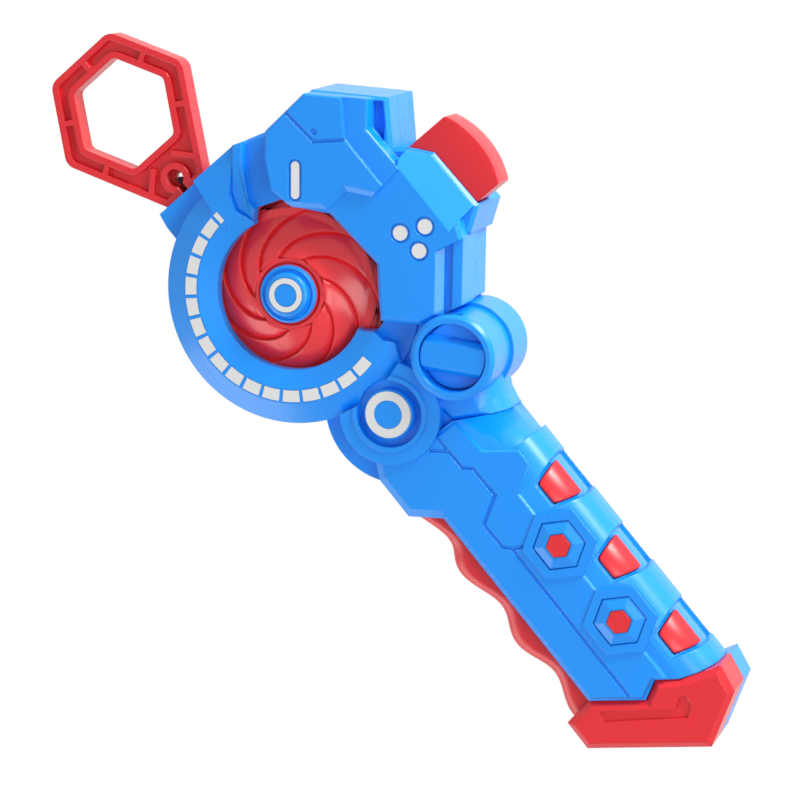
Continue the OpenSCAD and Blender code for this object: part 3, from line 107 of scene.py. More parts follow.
class Shader:
    """A node tree under construction, with one method that adds a node.

    Args:
        holder: The material or world whose tree is filled.
    """

    def __init__(self, holder: bpy.types.Material | bpy.types.World) -> None:
        """Empties the holder's tree."""
        holder.use_nodes = True
        self.tree = holder.node_tree
        self.tree.nodes.clear()

    def add(self, kind: str, values: dict | None = None, **settings: object) -> bpy.types.Node:
        """Adds a node.

        Args:
            kind: The node's type name, without its ShaderNode prefix.
            values: Input name or number to a constant, or to the socket or Wire that feeds it.
            **settings: Properties of the node itself, set first.

        Returns:
            The new node.
        """
        node = self.tree.nodes.new("ShaderNode" + kind)
        for name, value in settings.items():
            setattr(node, name, value)
        for name, value in (values or {}).items():
            self.feed(node.inputs[name], value)
        return node

    def feed(self, socket: bpy.types.NodeSocket, value: object) -> None:
        """Links or sets an input socket.

        Args:
            socket: The input.
            value: A constant, or the socket or Wire that feeds it.
        """
        if isinstance(value, Wire):
            value = value.socket
        if isinstance(value, bpy.types.NodeSocket):
            self.tree.links.new(value, socket)
        else:
            socket.default_value = value

    def wire(self, socket: bpy.types.NodeSocket) -> "Wire":
        """Wraps an output so that it can be used in sums."""
        return Wire(self, socket)

    def maths(self, operation: str, first: object, second: object = None) -> "Wire":
        """Adds a Math node.

        Args:
            operation: The node's operation.
            first: Its first value.
            second: Its second value, where it has one.

        Returns:
            The result.
        """
        values = {0: first} if second is None else {0: first, 1: second}
        return self.wire(self.add("Math", values, operation=operation).outputs[0])

    def noise(self, scale: float, detail: float, stretch: Point | None = None) -> "Wire":
        """Noise in the object's own coordinates.

        Args:
            scale: Cells to the metre.
            detail: Octaves.
            stretch: How far each axis is scaled first.

        Returns:
            The noise, about 0.5 in the mean.
        """
        place = self.add("TexCoord").outputs["Object"]
        if stretch:
            place = self.add("Mapping", {"Vector": place, "Scale": stretch}).outputs[0]
        values = {"Vector": place, "Scale": scale, "Detail": detail}
        return self.wire(self.add("TexNoise", values).outputs["Fac"])

    def blend(self, share: object, low: Colour, high: Colour) -> bpy.types.NodeSocket:
        """Mixes two colours.

        Args:
            share: Share of the second colour.
            low: The first colour.
            high: The second colour.

        Returns:
            The mixed colour.
        """
        # The node has inputs of one name for each kind of data, so they go by number
        values = {0: share, 6: (*low, 1.0), 7: (*high, 1.0)}
        return self.add("Mix", values, data_type="RGBA").outputs[2]

    def relief(self, height: "Wire", strength: float, depth: float,
               edge: float = 0.0) -> bpy.types.NodeSocket:
        """Fine relief on a surface whose edges look rounded.

        Args:
            height: The relief's pattern.
            strength: How strongly it tilts the surface.
            depth: Its height in metres.
            edge: Radius of the edges in metres, or nought where they stay as they are.

        Returns:
            The normal.
        """
        values = {"Height": height, "Strength": strength, "Distance": depth}
        if edge:
            values["Normal"] = self.add("Bevel", {"Radius": edge}, samples=BEVEL_SAMPLES).outputs[0]
        return self.add("Bump", values).outputs[0]

    def seen(self) -> "Wire":
        """Tells where the camera sees the surface itself, in gloss or through glass.

        Returns:
            One there, and nought elsewhere.
        """
        path = self.add("LightPath").outputs
        direct = self.maths("MAXIMUM", path["Is Camera Ray"], path["Is Glossy Ray"])
        return self.maths("MAXIMUM", direct, path["Is Transmission Ray"])

    def close(self, surface: bpy.types.NodeSocket, output: str = "OutputMaterial") -> None:
        """Feeds the output of the material or world."""
        self.add(output, {"Surface": surface})


@dataclass(frozen=True)
class Wire:
    """An output socket that adds, subtracts, multiplies and compares as numbers do.

    Args:
        shader: The tree that its sums go into.
        socket: The socket.
    """

    shader: Shader
    socket: bpy.types.NodeSocket

    def __add__(self, other: object) -> "Wire":
        """The sum."""
        return self.shader.maths("ADD", self, other)

    def __radd__(self, other: object) -> "Wire":
        """The sum, after a number."""
        return self.shader.maths("ADD", other, self)

    def __sub__(self, other: object) -> "Wire":
        """The difference."""
        return self.shader.maths("SUBTRACT", self, other)

    def __rsub__(self, other: object) -> "Wire":
        """The difference from a number."""
        return self.shader.maths("SUBTRACT", other, self)

    def __mul__(self, other: object) -> "Wire":
        """The product."""
        return self.shader.maths("MULTIPLY", self, other)

    def __rmul__(self, other: object) -> "Wire":
        """The product, after a number."""
        return self.shader.maths("MULTIPLY", other, self)

    def __gt__(self, other: object) -> "Wire":
        """One where the value is greater, and nought elsewhere."""
        return self.shader.maths("GREATER_THAN", self, other)

    def __abs__(self) -> "Wire":
        """The value without its sign."""
        return self.shader.maths("ABSOLUTE", self)

    def sine(self) -> "Wire":
        """The sine of the value."""
        return self.shader.maths("SINE", self)


# Finishes


def dimmed(colour: Colour, share: float) -> Colour:
    """The colour at a share of its brightness."""
    return tuple(part * share for part in colour)


@dataclass(frozen=True)
class Plastic:
    """Moulded plastic: even colour, a faint cloud, fine moulding grain and hairline scuffs.

    Args:
        colour: Base colour, linear.
        roughness: Mean roughness.
        cloud: How far the colour darkens in its clouds.
        haze: How far the clouds change the roughness.
        grain: Height of the moulding grain, in metres.
        grain_strength: How strongly the grain tilts the surface.
        scuff: How far hairline scuffs roughen the surface.
        scuff_level: Noise above which a scuff shows.
        edge: Radius by which edges look rounded, in metres.
        cloud_scale: Clouds to the metre.
        grain_scale: Grains to the metre.
        hair_scale: Scuffs to the metre.
        hair_stretch: How far each axis is scaled under the scuffs, which run along Y.
    """

    colour: Colour
    roughness: float = 0.3
    cloud: float = 0.06
    haze: float = 0.08
    grain: float = 0.000003
    grain_strength: float = 0.35
    scuff: float = 0.10
    scuff_level: float = 0.64
    edge: float = 0.00045
    cloud_scale: float = 55.0
    grain_scale: float = 1500.0
    hair_scale: float = 420.0
    hair_stretch: Point = (1.0, 0.08, 1.0)

    def dress(self, shader: Shader) -> bpy.types.NodeSocket:
        """Adds the finish's nodes.

        Args:
            shader: The tree that they go into.

        Returns:
            The finished surface.
        """
        cloud = shader.noise(self.cloud_scale, detail=3.0)
        fine = shader.noise(self.grain_scale, detail=2.0)
        hair = shader.noise(self.hair_scale, detail=4.0, stretch=self.hair_stretch)
        scuffs = (hair > self.scuff_level) * self.scuff
        low = dimmed(self.colour, 1.0 - self.cloud)
        return shader.add("BsdfPrincipled", {
            "Base Color": shader.blend(cloud, low, self.colour),
            "Roughness": self.roughness + (cloud - 0.5) * self.haze + scuffs,
            "Normal": shader.relief(fine, self.grain_strength, self.grain, self.edge),
        }).outputs[0]


@dataclass(frozen=True)
class Metal:
    """Turned or drawn metal with fine marks across its length.

    Args:
        colour: Base colour, linear.
        roughness: Mean roughness.
        stretch: How far the marks are drawn out along each axis.
        edge: Radius by which edges look rounded, in metres.
        dull: Brightness of the dull spots.
        lift: Share of the bright colour that shows all over.
        spread: How far the marks change the roughness.
        mark: Depth of the marks, in metres.
        mark_strength: How strongly the marks tilt the surface.
        mark_scale: Marks to the metre.
        cloud_scale: Dull spots to the metre.
    """

    colour: Colour
    roughness: float = 0.28
    stretch: Point = (1.0, 1.0, 14.0)
    edge: float = 0.00012
    dull: float = 0.78
    lift: float = 0.3
    spread: float = 0.3
    mark: float = 0.000004
    mark_strength: float = 0.3
    mark_scale: float = 260.0
    cloud_scale: float = 120.0

    def dress(self, shader: Shader) -> bpy.types.NodeSocket:
        """Adds the finish's nodes.

        Args:
            shader: The tree that they go into.

        Returns:
            The finished surface.
        """
        marks = shader.noise(self.mark_scale, detail=4.0, stretch=self.stretch)
        cloud = shader.noise(self.cloud_scale, detail=2.0)
        dull = dimmed(self.colour, self.dull)
        return shader.add("BsdfPrincipled", {
            "Base Color": shader.blend(cloud * marks + self.lift, dull, self.colour),
            "Metallic": 1.0,
            "Roughness": self.roughness + (marks - 0.5) * self.spread,
            "Normal": shader.relief(marks, self.mark_strength, self.mark, self.edge),
        }).outputs[0]


@dataclass(frozen=True)
class Braid:
    """Braided cord, whose strands follow the piece's UV map, with painted shade between the strands.

    Args:
        colour: Base colour of the strands, linear.
        strands: Crossing strands round the cord.
        lay: Strand crossings to the metre.
        fuzz: Height of the stray fibres, as a share of a strand's.
        fuzz_scale: Stray fibres to the metre.
        shade: Brightness of the painted shade between the strands.
        roughness: Roughness between the strands.
        shine: How far the roughness falls on a strand.
        depth: Height of the strands, in metres.
        depth_strength: How strongly the strands tilt the surface.
    """

    colour: Colour
    strands: float = 6.0
    lay: float = 900.0
    fuzz: float = 0.3
    fuzz_scale: float = 4000.0
    shade: float = 0.35
    roughness: float = 0.95
    shine: float = 0.15
    depth: float = 0.00008
    depth_strength: float = 0.8

    def dress(self, shader: Shader) -> bpy.types.NodeSocket:
        """Adds the finish's nodes.

        Args:
            shader: The tree that they go into.

        Returns:
            The finished surface.
        """
        parts = shader.add("SeparateXYZ", {0: shader.add("UVMap", uv_map="cord").outputs[0]}).outputs
        turn = shader.wire(parts[0]) * (self.strands * 2.0 * math.pi)
        run = shader.wire(parts[1]) * (self.lay * 2.0 * math.pi)
        strands = abs((turn + run).sine() * (turn - run).sine())
        height = strands + shader.noise(self.fuzz_scale, detail=2.0) * self.fuzz
        # The colour darkens where the strands lie low: painted shade between the strands.
        strand_gap_shade = dimmed(self.colour, self.shade)
        return shader.add("BsdfPrincipled", {
            "Base Color": shader.blend(height, strand_gap_shade, self.colour),
            "Roughness": self.roughness - height * self.shine,
            "Normal": shader.relief(height, self.depth_strength, self.depth),
        }).outputs[0]


class LitTone(Enum):
    """Lighter copies of a slot's finish that pieces sitting in shade take in place of the slot's own:
    painted light.
    """

    TURBINE = "turbine_red_painted_light"


FINISHES: dict[Slot | LitTone, Plastic | Metal | Braid] = {
    Slot.BLUE: Plastic((0.002, 0.29, 0.95)),
    Slot.RED: Plastic((0.76, 0.016, 0.026)),
    # The turbine's red is lighter than the trim's red: painted light, because the turbine sits in shade in
    # the dial's recess.
    LitTone.TURBINE: Plastic((0.90, 0.030, 0.040), roughness=0.24),
    Slot.WHITE: Plastic((0.74, 0.75, 0.75), roughness=0.45, cloud=0.03, scuff=0.05, edge=0.0001),
    Slot.GREY: Plastic((0.09, 0.10, 0.12), roughness=0.5, grain=0.000008, edge=0.0002),
    Slot.IVORY: Plastic((0.70, 0.70, 0.66), roughness=0.42, edge=0.0002),
    Slot.STEEL: Metal((0.56, 0.57, 0.59)),
    Slot.BRASS: Metal((0.70, 0.48, 0.16), roughness=0.3),
    Slot.CORD: Braid((0.10, 0.10, 0.12)),
}


@dataclass
class Palette:
    """The materials, made once, and how pieces take them.

    Args:
        materials: The material of each finish.
    """

    materials: dict[Slot | LitTone, bpy.types.Material] = field(default_factory=dict)

    def __post_init__(self) -> None:
        """Makes a material of each finish."""
        for name, finish in FINISHES.items():
            self.materials[name] = bpy.data.materials.new(name.value)
            shader = Shader(self.materials[name])
            shader.close(finish.dress(shader))

    def paint(self, item: bpy.types.Object, slot: Slot, lit_tone: LitTone | None = None) -> None:
        """Gives a piece its finish.

        Args:
            item: The piece.
            slot: The finish, and the record's slot of that name.
            lit_tone: A finish in place of the slot's own.
        """
        item.data.materials.clear()
        item.data.materials.append(self.materials[lit_tone or slot])
        for polygon in item.data.polygons:
            polygon.material_index = 0

    def cad(self, slot: Slot, *nodes: str) -> None:
        """Gives CAD nodes that keep their shape their finish.

        Args:
            slot: The finish.
            *nodes: The nodes.
        """
        for node in nodes:
            self.paint(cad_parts[node], slot)
            LOG.info("%s: CAD shape in %s", node, slot.value)


# Mesh work


@dataclass
class Workshop:
    """Turns finished bmeshes into pieces, and holds the shapes that several pieces share.

    Args:
        palette: The materials.
        skin_sharp_deg: Edges of a smooth copy that turn further than this stay sharp.
        flat_weight: How strongly a smooth copy's large faces hold their direction.
    """

    palette: Palette
    skin_sharp_deg: float = 24.0
    flat_weight: int = 80

    def piece(self, name: str, work: bmesh.types.BMesh, body: Body | None, slot: Slot,
              stands_for: Sequence[str], sharp_deg: float, lit_tone: LitTone | None = None) -> bpy.types.Object:
        """Makes a piece that stands for CAD nodes.

        Args:
            name: The piece's name.
            work: Its mesh in metres, freed here.
            body: The body that it rides on, or None where it rides on none.
            slot: Its finish.
            stands_for: The CAD nodes that it replaces.
            sharp_deg: Edges that turn further than this stay sharp.
            lit_tone: A finish in place of the slot's own.

        Returns:
            The piece.
        """
        mesh = bpy.data.meshes.new(name)
        work.to_mesh(mesh)
        work.free()
        for polygon in mesh.polygons:
            polygon.use_smooth = True
        mesh.set_sharp_from_angle(angle=math.radians(sharp_deg))
        item = bpy.data.objects.new(name, mesh)
        bpy.context.scene.collection.objects.link(item)
        self.palette.paint(item, slot, lit_tone)
        if body:
            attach(item, body.value)
        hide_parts(*stands_for)
        LOG.info("%s: %d faces in %s", name, len(mesh.polygons), slot.value)
        return item

    def smooth(self, slot: Slot, *nodes: str) -> None:
        """Gives housing nodes with curved faces smooth copies whose flat faces stay flat.

        Args:
            slot: The copies' finish.
            *nodes: The nodes.
        """
        for node in nodes:
            item = self.piece(node + "_skin", self.copy(node), Body.HOUSING, slot, [node],
                              sharp_deg=self.skin_sharp_deg)
            weigh = item.modifiers.new("flat faces", "WEIGHTED_NORMAL")
            weigh.keep_sharp, weigh.weight = True, self.flat_weight

    @staticmethod
    def copy(node: str) -> bmesh.types.BMesh:
        """Copies a CAD node's shape, merged and cleared of the edges inside its flat faces.

        Args:
            node: The node.

        Returns:
            The copy, in metres.
        """
        work = bmesh.new()
        work.from_mesh(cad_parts[node].data)
        bmesh.ops.remove_doubles(work, verts=work.verts, dist=2 * WELD)
        bmesh.ops.dissolve_limit(work, angle_limit=math.radians(FLAT_DEG), verts=work.verts,
                                 edges=work.edges)
        return work

    @staticmethod
    def soften(work: bmesh.types.BMesh, edges: Sequence[bmesh.types.BMEdge], radius: float,
               segments: int) -> None:
        """Rounds edges.

        Args:
            work: The mesh.
            edges: Its edges to round.
            radius: Radius in mm.
            segments: Steps of the round.
        """
        bmesh.ops.bevel(work, geom=edges, offset=radius * MM, offset_type="OFFSET", segments=segments,
                        profile=0.5, affect="EDGES", material=-1, clamp_overlap=True)

    @staticmethod
    def lathe(profile: Sequence[tuple[float, float]], steps: int) -> bmesh.types.BMesh:
        """Turns a profile about the Z axis.

        Args:
            profile: Radius and height pairs in mm, from the axis outwards and back to it.
            steps: Steps of the full turn.

        Returns:
            The turned mesh, in metres.
        """
        work = bmesh.new()
        verts = [work.verts.new((r * MM, 0.0, z * MM)) for r, z in profile]
        edges = [work.edges.new(pair) for pair in zip(verts, verts[1:])]
        bmesh.ops.spin(work, geom=verts + edges, cent=(0, 0, 0), axis=(0, 0, 1), angle=2 * math.pi,
                       steps=steps, use_merge=True, use_duplicate=False)
        bmesh.ops.remove_doubles(work, verts=work.verts, dist=WELD)
        bmesh.ops.recalc_face_normals(work, faces=work.faces)
        return work

    @staticmethod
    def sweep(work: bmesh.types.BMesh, route: Sequence[Vector], radius: float, sides: int) -> None:
        """Carries a round section along a route, with a UV map of the turns and of the length in metres.

        Args:
            work: The mesh that the tube is added to.
            route: Points in metres.
            radius: The tube's radius in metres.
            sides: Sides of the section.
        """
        ends = [route[0]] + list(route) + [route[-1]]
        aims = [(after - before).normalized() for before, after in zip(ends, ends[2:])]
        side = aims[0].orthogonal().normalized()
        uv = work.loops.layers.uv.get("cord") or work.loops.layers.uv.new("cord")
        ring: list[bmesh.types.BMVert] = []
        run = 0.0
        for number, (point, aim) in enumerate(zip(route, aims)):
            side = (side - aim * side.dot(aim)).normalized()
            turn = Matrix((side, aim.cross(side), aim)).transposed().to_4x4()
            closed = number in (0, len(route) - 1)
            made = bmesh.ops.create_circle(work, segments=sides, radius=radius, cap_ends=closed,
                                           matrix=Matrix.Translation(point) @ turn)["verts"]
            before, run = run, run + (point - route[number - 1]).length if number else 0.0
            if ring:
                Workshop.join(work, uv, (ring, made), (before, run))
            ring = made

    @staticmethod
    def join(work: bmesh.types.BMesh, uv: bmesh.types.BMLayerItem,
             rings: tuple[list[bmesh.types.BMVert], list[bmesh.types.BMVert]],
             runs: tuple[float, float]) -> None:
        """Bridges two rings of a tube and maps the faces between them.

        Args:
            work: The mesh.
            uv: Its UV layer.
            rings: The vertices of each ring, in the same order.
            runs: The length along the tube at each ring.
        """
        sides = len(rings[0])
        edges = [work.edges.get((ring[i], ring[(i + 1) % sides])) for ring in rings for i in range(sides)]
        place = {vert: (i, run) for ring, run in zip(rings, runs) for i, vert in enumerate(ring)}
        for face in bmesh.ops.bridge_loops(work, edges=edges)["faces"]:
            wraps = {place[loop.vert][0] for loop in face.loops} == {0, sides - 1}
            for loop in face.loops:
                i, along = place[loop.vert]
                loop[uv].uv = ((sides if wraps and i == 0 else i) / sides, along)


# Sub-assemblies


@dataclass
class Head:
    """Shells, cover, dial marks, boss and their screws."""

    def build(self, shop: Workshop) -> None:
        """Dresses the head.

        Args:
            shop: The workshop.
        """
        shop.palette.cad(Slot.BLUE, "front_shell", "upper_cover", "back_shell", "boss_stud")
        shop.palette.cad(Slot.WHITE, "dial_marks", "slot_mark", "dot_marks", "boss_ring")
        shop.palette.cad(Slot.STEEL, "shell_screws", "plate_screws")
        shop.palette.cad(Slot.BRASS, "cord_guide")


@dataclass
class Turbine:
    """The red turbine behind the dial's window and the hub cap on it. Sizes are in mm.

    Args:
        blades: Number of overlapping blades.
        blade_shares: Places across a blade where its height is set.
        root_r: Radius where the blades start.
        cone_r: Radius where the cone turns into the flat rim.
        rim_r: Radius where the blades end.
        cone_bend: Power by which the cone falls outwards.
        crease_deg: Angle of the first crease at the root.
        sweep_deg: Angle by which a crease falls back with each mm of radius.
        step_h: Height of a blade's leading edge over the one before it.
        hollow: Depth of the crease before a blade, as a share of the step.
        front_w: Width of a blade's steep front, as a share of the blade.
        front_rise: Height of that front, as a share of the step.
        fall: How far a blade falls across its width.
        tail_from: Where its tail starts, as a share of the blade.
        tail_fall: How much further its tail falls.
        root_rate: How steeply the blades rise out of the middle.
        root_rise: Share of its height that a blade has at its root.
        root_fill: Share of the step by which the middle stands proud at the root.
        rim_rise: Share of its height that a blade keeps on the flat rim.
        rings: Rings of faces across the blades.
        flat_drop: Depth of the flat middle under the CAD disc's top.
        flat_w: Width of the flat inside the blades' root.
        groove: Radius and depth of the groove round the hub cap.
        seat_r: Radius of the seat under the hub cap.
        bore_r: Radius of the bore.
        bore_lift: Height of the bore's foot.
        post_r: Radius of the post round the bore.
        skin_t: Thickness of the disc's middle.
        skin_r: Radius where the thick middle starts to thin out.
        under_r: Radius where the disc's flat underside starts.
        rim_t: Thickness of the rim.
        rim_w: Width of the plain edge outside the blades.
        hub_r: Radius of the hub cap.
        hub_sink: Depth of the cap's foot in the disc.
        hub_skirt: The cap's skirt: how far in from its radius, and height over its foot.
        hub_step: The trough on it: radius, and height over its foot.
        hub_crown: Its crown with the white ring's groove: radius, and depth under its top.
        hub_steps: Steps of the cap's full turn.
    """

    blades: int = 9
    blade_shares: tuple[float, ...] = (0.0, 0.018, 0.05, 0.12, 0.2, 0.3, 0.42, 0.55, 0.68, 0.79, 0.87, 0.93,
                                       0.975)
    root_r: float = 8.2
    cone_r: float = 16.7
    rim_r: float = 22.5
    cone_bend: float = 1.15
    crease_deg: float = 29.0
    sweep_deg: float = 6.6
    step_h: float = 1.0
    hollow: float = 0.28
    front_w: float = 0.03
    front_rise: float = 0.92
    fall: float = 0.5
    tail_from: float = 0.68
    tail_fall: float = 0.7
    root_rate: float = 14.0
    root_rise: float = 0.45
    root_fill: float = 0.55
    rim_rise: float = 0.75
    rings: int = 34
    flat_drop: float = 0.35
    flat_w: float = 0.25
    groove: Pairs = ((6.6, 0.0), (6.65, 0.9), (6.95, 0.9), (7.05, 0.0))
    seat_r: float = 5.0
    bore_r: float = 2.1
    bore_lift: float = 0.4
    post_r: float = 4.4
    skin_t: float = 2.6
    skin_r: float = 9.0
    under_r: float = 15.0
    rim_t: float = 1.0
    rim_w: float = 0.3
    hub_r: float = 6.45
    hub_sink: float = 0.02
    hub_skirt: Pairs = ((0.35, 0.0), (0.0, 0.25), (0.0, 1.0), (0.18, 1.35), (0.55, 1.5))
    hub_step: Pairs = ((5.75, 1.45), (5.6, 1.15), (5.2, 1.05), (5.02, 1.2))
    hub_crown: Pairs = ((4.95, 0.62), (4.8, 0.34), (4.45, 0.16), (3.95, 0.06), (3.86, 0.04), (3.84, 0.45),
                        (2.56, 0.45), (2.54, 0.0), (2.0, 0.0), (1.0, 0.0), (0.0, 0.0))
    hub_steps: int = 96

    def section(self, low: float, high: float) -> list[tuple[float, float]]:
        """The plain disc's outline, from its bore over the cone to the rim and back underneath.

        Args:
            low: Height of its foot.
            high: Height of the CAD disc's top.

        Returns:
            Radius and height pairs.
        """
        flat_z, rim_z, bore_z = high - self.flat_drop, low + self.rim_t, low + self.bore_lift
        fall = rim_z + self.step_h - flat_z
        cone = []
        for number in range(self.rings + 1):
            r = self.root_r + (self.rim_r - self.root_r) * number / self.rings
            share = min(1.0, (r - self.root_r) / (self.cone_r - self.root_r))
            cone.append((r, flat_z - self.step_h + fall * share ** self.cone_bend))
        middle = [(self.bore_r, bore_z), (self.bore_r, flat_z), (self.seat_r, flat_z),
                  *((r, flat_z - depth) for r, depth in self.groove), (self.root_r - self.flat_w, flat_z)]
        edge_r, under_z = self.rim_r + self.rim_w, flat_z - self.skin_t
        under = [(edge_r, rim_z), (edge_r, low), (self.under_r, low), (self.skin_r, under_z),
                 (self.post_r, under_z), (self.post_r, bore_z), (self.bore_r, bore_z)]
        return middle + cone + under

    def blade_height(self, across: float) -> float:
        """Height of a blade: a hollow before it, a steep front, then a slow fall.

        Args:
            across: Share of the blade's width.

        Returns:
            The height as a share of the step.
        """
        if across <= 0.0:
            return -self.hollow
        if across < self.front_w:
            return self.front_rise
        tail = max(0.0, (across - self.tail_from) / (1.0 - self.tail_from))
        return 1.0 - self.fall * across - self.tail_fall * tail ** 2

    def raised(self, across: float, r: float) -> float:
        """How far the blades stand over the plain disc.

        Args:
            across: Share of the blade's width.
            r: Radius.

        Returns:
            The height.
        """
        root = self.root_rate * (r - self.root_r) / (self.rim_r - self.root_r)
        kept = 1.0 if r < self.cone_r else self.rim_rise
        blade = self.blade_height(across) * min(1.0, root + self.root_rise) * kept
        return self.step_h * (blade + self.root_fill * max(0.0, 1.0 - root))

    def disc(self) -> bmesh.types.BMesh:
        """Makes the disc: a turned cone whose rings are twisted and raised into blades.

        Returns:
            Its mesh.
        """
        low, high = (corner.z / MM for corner in map(Vector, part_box("turbine_disc")))
        per_blade = len(self.blade_shares)
        steps = self.blades * per_blade
        work = Workshop.lathe(self.section(low, high), steps)
        for vert in work.verts:
            r = math.hypot(vert.co.x, vert.co.y) / MM
            on_top = vert.co.z >= (low + self.rim_t - NEAR) * MM
            if not on_top or not self.root_r - NEAR <= r <= self.rim_r + NEAR:
                continue
            blade, stop = divmod(round(math.atan2(vert.co.y, vert.co.x) / (2 * math.pi) * steps), per_blade)
            across = self.blade_shares[stop]
            angle = math.radians((blade + across) * 360.0 / self.blades + self.crease_deg
                                 - self.sweep_deg * (r - self.root_r))
            z = vert.co.z + self.raised(across, r) * MM
            vert.co = (r * MM * math.cos(angle), r * MM * math.sin(angle), z)
        bmesh.ops.recalc_face_normals(work, faces=work.faces)
        return work

    def hub(self) -> bmesh.types.BMesh:
        """Makes the domed cap with a ring groove round its raised middle.

        Returns:
            Its mesh.
        """
        low, high = (corner.z / MM for corner in map(Vector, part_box("hub_cap")))
        low += self.hub_sink - self.flat_drop
        skirt = [(self.hub_r - inset, low + rise) for inset, rise in self.hub_skirt]
        step = [(r, low + rise) for r, rise in self.hub_step]
        crown = [(r, high - depth) for r, depth in self.hub_crown]
        return Workshop.lathe([(0.0, low), *skirt, *step, *crown], self.hub_steps)

    def build(self, shop: Workshop) -> None:
        """Builds and dresses the turbine and its hub.

        Args:
            shop: The workshop.
        """
        # The turbine takes the lighter red: painted light for its shaded recess.
        shop.piece("turbine", self.disc(), Body.ROTOR, Slot.RED, ["turbine_disc"], sharp_deg=28.0,
                   lit_tone=LitTone.TURBINE)
        shop.piece("hub", self.hub(), Body.ROTOR, Slot.BLUE, ["hub_cap"], sharp_deg=40.0)
        shop.palette.cad(Slot.WHITE, "hub_ring")


@dataclass
class Handle:
    """Handle halves, finger grip, inserts, badges and butt cap. Sizes are in mm.

    Args:
        pitch: Distance between finger crests.
        crest_y: Place of the first crest.
        line_x: Mean line of the waved edge.
        wave: Half the depth of a groove.
        round_r: Radius by which the section's free corners are rounded.
        round_steps: Steps of that round.
        flat_in: Distance from the round to the first edge on the flat faces.
        top_ends: Outer and inner ends of the grip's upper edge.
        foot_ends: Outer and inner ends of its lower edge.
        steps: Rings of faces along the grip.
        insert_round: Radius by which the inserts' upper edges are rounded.
        insert_steps: Steps of that round.
        keen: Edges of the inserts that turn further than this are rounded, in radians.
    """

    pitch: float = 19.5
    crest_y: float = -72.6
    line_x: float = -10.8
    wave: float = 1.4
    round_r: float = 3.4
    round_steps: int = 8
    flat_in: float = 0.1
    top_ends: Pairs = ((-14.0025, -53.048), (-5.05, -60.7595))
    foot_ends: Pairs = ((-14.0025, -112.8), (-5.05, -111.6))
    steps: int = 110
    insert_round: float = 0.7
    insert_steps: int = 4
    keen: float = 0.7

    @staticmethod
    def on_line(ends: Pairs, x: float) -> float:
        """Height of a slanting end at x."""
        (x0, y0), (x1, y1) = ends
        return y0 + (x - x0) * (y1 - y0) / (x1 - x0)

    def between_ends(self, share: float, x: float) -> float:
        """Height at x, at a share of the way from the grip's upper end to its lower one."""
        top = self.on_line(self.top_ends, x)
        return top + share * (self.on_line(self.foot_ends, x) - top)

    def section(self, low: float, high: float) -> list[tuple[float | None, float]]:
        """The grip's section, from its inner end over the rounded corners and back.

        Args:
            low: Height of its lower face.
            high: Height of its upper face.

        Returns:
            Distance in from the waved edge, or None at the inner end, and height.
        """
        arc = [math.pi / 2 * i / self.round_steps for i in range(self.round_steps + 1)]
        lower = [(self.round_r * (1 - math.cos(a)), low + self.round_r * (1 - math.sin(a))) for a in arc]
        upper = [(inset, low + high - z) for inset, z in lower]
        flat = self.round_r + self.flat_in
        return [(None, high), (flat, high), *upper[::-1], *lower, (flat, low), (None, low), (None, high)]

    def grip(self) -> bmesh.types.BMesh:
        """Makes the grip: one rounded section carried down the handle and waved by the fingers.

        Returns:
            Its mesh.
        """
        low, high = (corner.z / MM for corner in map(Vector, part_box("finger_grip")))
        section = self.section(low, high)
        last = len(section) - 1
        work = bmesh.new()
        grid = bmesh.ops.create_grid(work, x_segments=last, y_segments=self.steps, size=1.0)["verts"]
        for vert in grid:
            inset, z = section[round((vert.co.x + 1) / 2 * last)]
            share = (1 - vert.co.y) / 2
            lean = self.crest_y - self.between_ends(share, self.line_x)
            x = self.line_x - self.wave * math.cos(2 * math.pi * lean / self.pitch)
            x = self.top_ends[1][0] if inset is None else x + inset
            vert.co = Vector((x, self.between_ends(share, x), z)) * MM
        bmesh.ops.remove_doubles(work, verts=work.verts, dist=WELD)
        bmesh.ops.holes_fill(work, edges=[edge for edge in work.edges if edge.is_boundary], sides=0)
        bmesh.ops.recalc_face_normals(work, faces=work.faces)
        return work

    def inserts(self) -> bmesh.types.BMesh:
        """Makes the inserts: the CAD's plates, merged and with soft edges.

        Returns:
            Their mesh.
        """
        work = Workshop.copy("spine_inserts")
        keen = [edge for edge in work.edges if edge.calc_face_angle(0.0) > self.keen]
        Workshop.soften(work, keen, self.insert_round, self.insert_steps)
        return work

    def build(self, shop: Workshop) -> None:
        """Builds and dresses the handle.

        Args:
            shop: The workshop.
        """
        shop.piece("grip", self.grip(), Body.HOUSING, Slot.RED, ["finger_grip"], sharp_deg=40.0)
        shop.piece("inserts", self.inserts(), Body.HOUSING, Slot.RED, ["spine_inserts"], sharp_deg=25.0)
        shop.smooth(Slot.BLUE, "handle_front", "handle_back")
        shop.palette.cad(Slot.BLUE, "hex_badges", "butt_cap_back")
        shop.palette.cad(Slot.RED, "hex_studs", "butt_cap_front")


